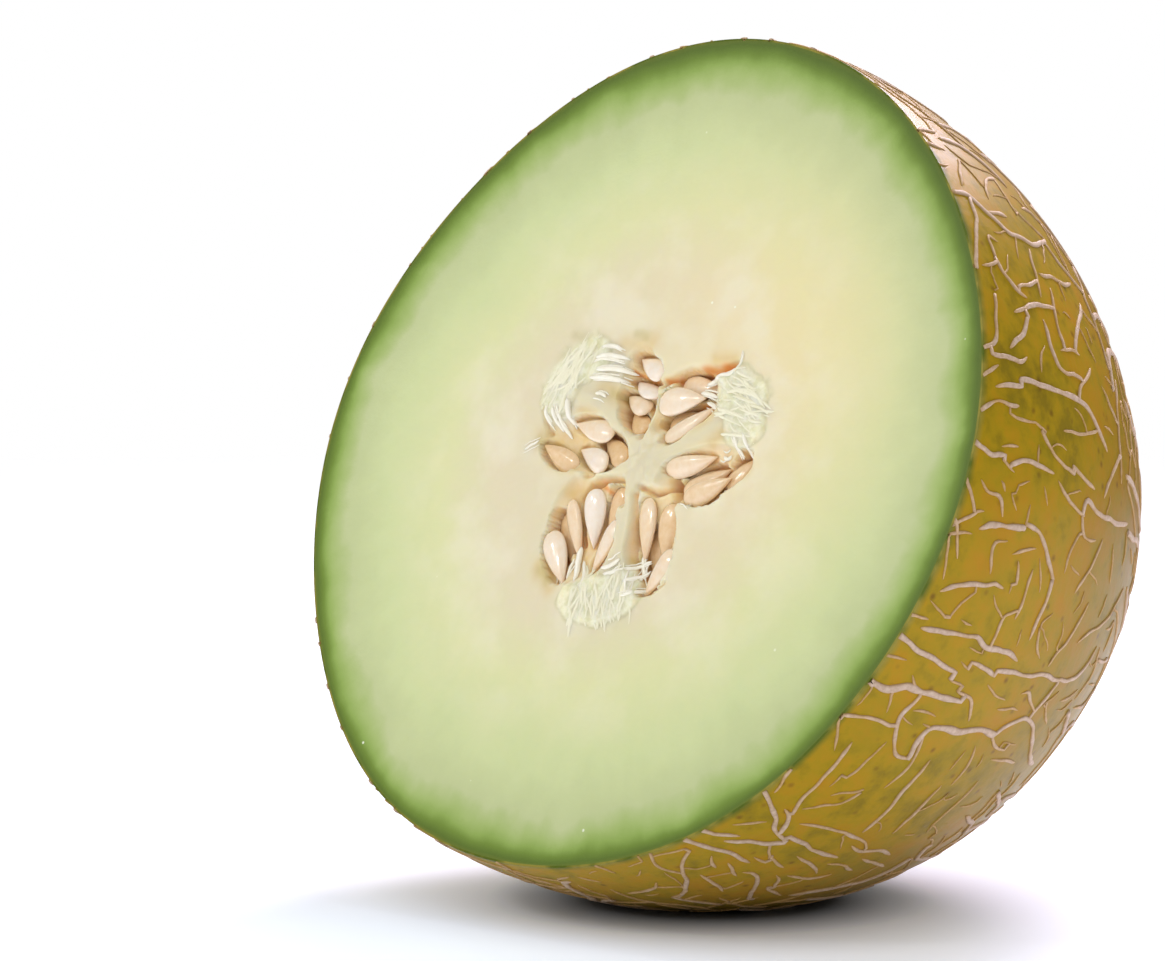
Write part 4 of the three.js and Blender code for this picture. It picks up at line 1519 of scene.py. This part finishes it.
def grow_net(chance):
    veins = NearbyVeins(BOX_SIZE)
    for owner, (_, path) in enumerate(laid_veins):
        veins.add(path, owner)
    grown = []
    for tries, room, lengths, widths, round_share in [*GROWTH, TWIGS]:
        is_twig = round_share is None
        for _ in range(tries):
            start = random_place(chance, is_twig)
            if veins.nearest(start)[0] < room * (1 if is_twig else room_share(start)):
                continue
            runs_round = not is_twig and chance.random() < round_share
            if is_twig:
                heading = chance.uniform(-90, 90)
            else:
                heading = chance.gauss(90, 16) if runs_round else chance.gauss(0, 18)
            length = chance.uniform(*lengths) * (RING_LONGER if runs_round else 1.0)
            width = None if is_twig else chance.uniform(*widths) * (RING_NARROWER if runs_round else 1.0)
            owner = len(laid_veins) + len(grown)
            wander = 3.0 if is_twig else 1.5
            path = grow_vein(start, heading, length, owner, wander, is_twig, veins, chance)
            if len(path) >= SHORTEST:
                veins.add(path, owner)
                grown.append((chance.uniform(*widths) if is_twig else width, path))
    return grown, veins


grown_veins, all_veins = grow_net(random.Random(5))
print(len(grown_veins), "veins grown")

# %% From paths to cork strips
# A section's points: across and up in shares of width and height, and how pale the cork is there.
# The darker foot of each side is painted shade along the vein.
VEIN_HEIGHT = 0.36
CORK = [(0.5, -1.0, 0.0), (0.47, 0.1, 0.25), (0.36, 0.84, 0.85), (0.14, 1.0, 1.0)]
FINE_CORK = [(0.5, -1.0, 0.0), (0.42, 0.5, 0.6)]
FINE_TOP = [(0.0, 1.0, 1.0)]
FINE_UNDER = 0.62  # veins narrower than this get the plainer section
TAPER_LENGTH = 2.4
LONGEST_TAPER = 0.48  # of the vein's length
JOIN = 1.4  # an end this near to another vein is joined to it
TOUCHING = 0.35  # and one this near touches it already
AT_CUT = 0.3  # an end this near to the knife's plane was cut through


def whole_section(half, top=()):
    """A section from its right half and whatever stands in its middle."""
    left = [(-across, up, pale) for across, up, pale in half[::-1]]
    return np.array([*half, *top, *left])


cork_section = whole_section(CORK)
fine_section = whole_section(FINE_CORK, FINE_TOP)


def smooth_chance(count, swing, chance, pitch=4):
    """Numbers round 0 that change slowly along a path."""
    knots = [chance.gauss(0, swing) for _ in range(count // pitch + 2)]
    return np.interp(np.linspace(0, len(knots) - 1, count), range(len(knots)), knots)


def join_end(path, owner):
    """Runs the path's last point on to another vein, if one is near."""
    gap, other = all_veins.nearest(path[-1], owner)
    if other is None or gap > JOIN:
        return path, False
    return np.vstack([path, other]) if gap > TOUCHING else path, True


def cork_strip(width, path, owner, chance):
    """Points, faces, how broad, how pale, and whether it is one of the fine ones."""
    path, joined_end = join_end(np.asarray(path), owner)
    path, joined_start = join_end(path[::-1], owner)
    path = path[::-1]
    count = len(path)
    normals = skin_normal(path)
    wiggle = smooth_chance(count, 0.13, chance) + smooth_chance(count, 0.05, chance, 2)
    path = path + side_ways(path, normals)[1] * wiggle[:, None]
    depth = to_face(path)[2]
    share = min(LONGEST_TAPER, TAPER_LENGTH / (count * VEIN_STEP))
    start_share = 0.0 if depth[0] < AT_CUT or joined_start else share
    end_share = 0.0 if depth[-1] < AT_CUT or joined_end else share
    ends = taper(count, start_share, end_share)
    widths = width * (0.3 + 0.7 * ends) * (1 + smooth_chance(count, 0.16, chance, 3))
    heights = VEIN_HEIGHT * (0.5 + 0.35 * min(width, 1.5)) * (0.25 + 0.75 * ends)
    is_fine = width < FINE_UNDER
    section = fine_section if is_fine else cork_section
    points, faces = sweep(path, normals, widths, heights, section)
    points = points + np.maximum(0, -to_face(points)[2])[:, None] * INTO_FRUIT
    points[:, 2] = np.maximum(points[:, 2], 0)
    broad = np.clip((widths - 0.4) / 0.6, 0, 1).repeat(len(section))
    return points, faces, broad, np.tile(section[:, 2], count), is_fine


# %% The cork's material
def cork_material():
    material, tree, shader, place = new_material("net_cork")
    fine = cloud(tree, place, 0.9, 4.0, 0.65)
    thin = ramp(tree, fine, [(0.3, "b08a50"), (0.7, "caa572")])
    thick = ramp(tree, fine, [(0.3, "b2967c"), (0.7, "cfb7a0")])
    colour = mix(tree, painted(tree, "broad"), thin, thick)
    # Painted shade: each vein's sides darken to brown towards the skin.
    colour = mix(tree, painted(tree, "crown"), paint("9a7430"), colour)
    set_inputs(shader, Base_Color=colour, Roughness=0.6, Specular_IOR_Level=0.3)
    raise_surface(tree, shader, cloud(tree, place, 0.7, 3.0, 0.7), 0.35, 0.12)
    return material


# %% Make the net
chance = random.Random(29)
cork = cork_material()
strips = [cork_strip(*vein, owner, chance) for owner, vein in enumerate(laid_veins + grown_veins)]
for name, is_fine in (("rind_net", False), ("rind_net_fine", True)):
    chosen = [strip for strip in strips if strip[4] == is_fine]
    numbers = {key: np.concatenate([strip[i] for strip in chosen]) for key, i in (("broad", 2), ("crown", 3))}
    make_strips(name, chosen, cork, numbers)
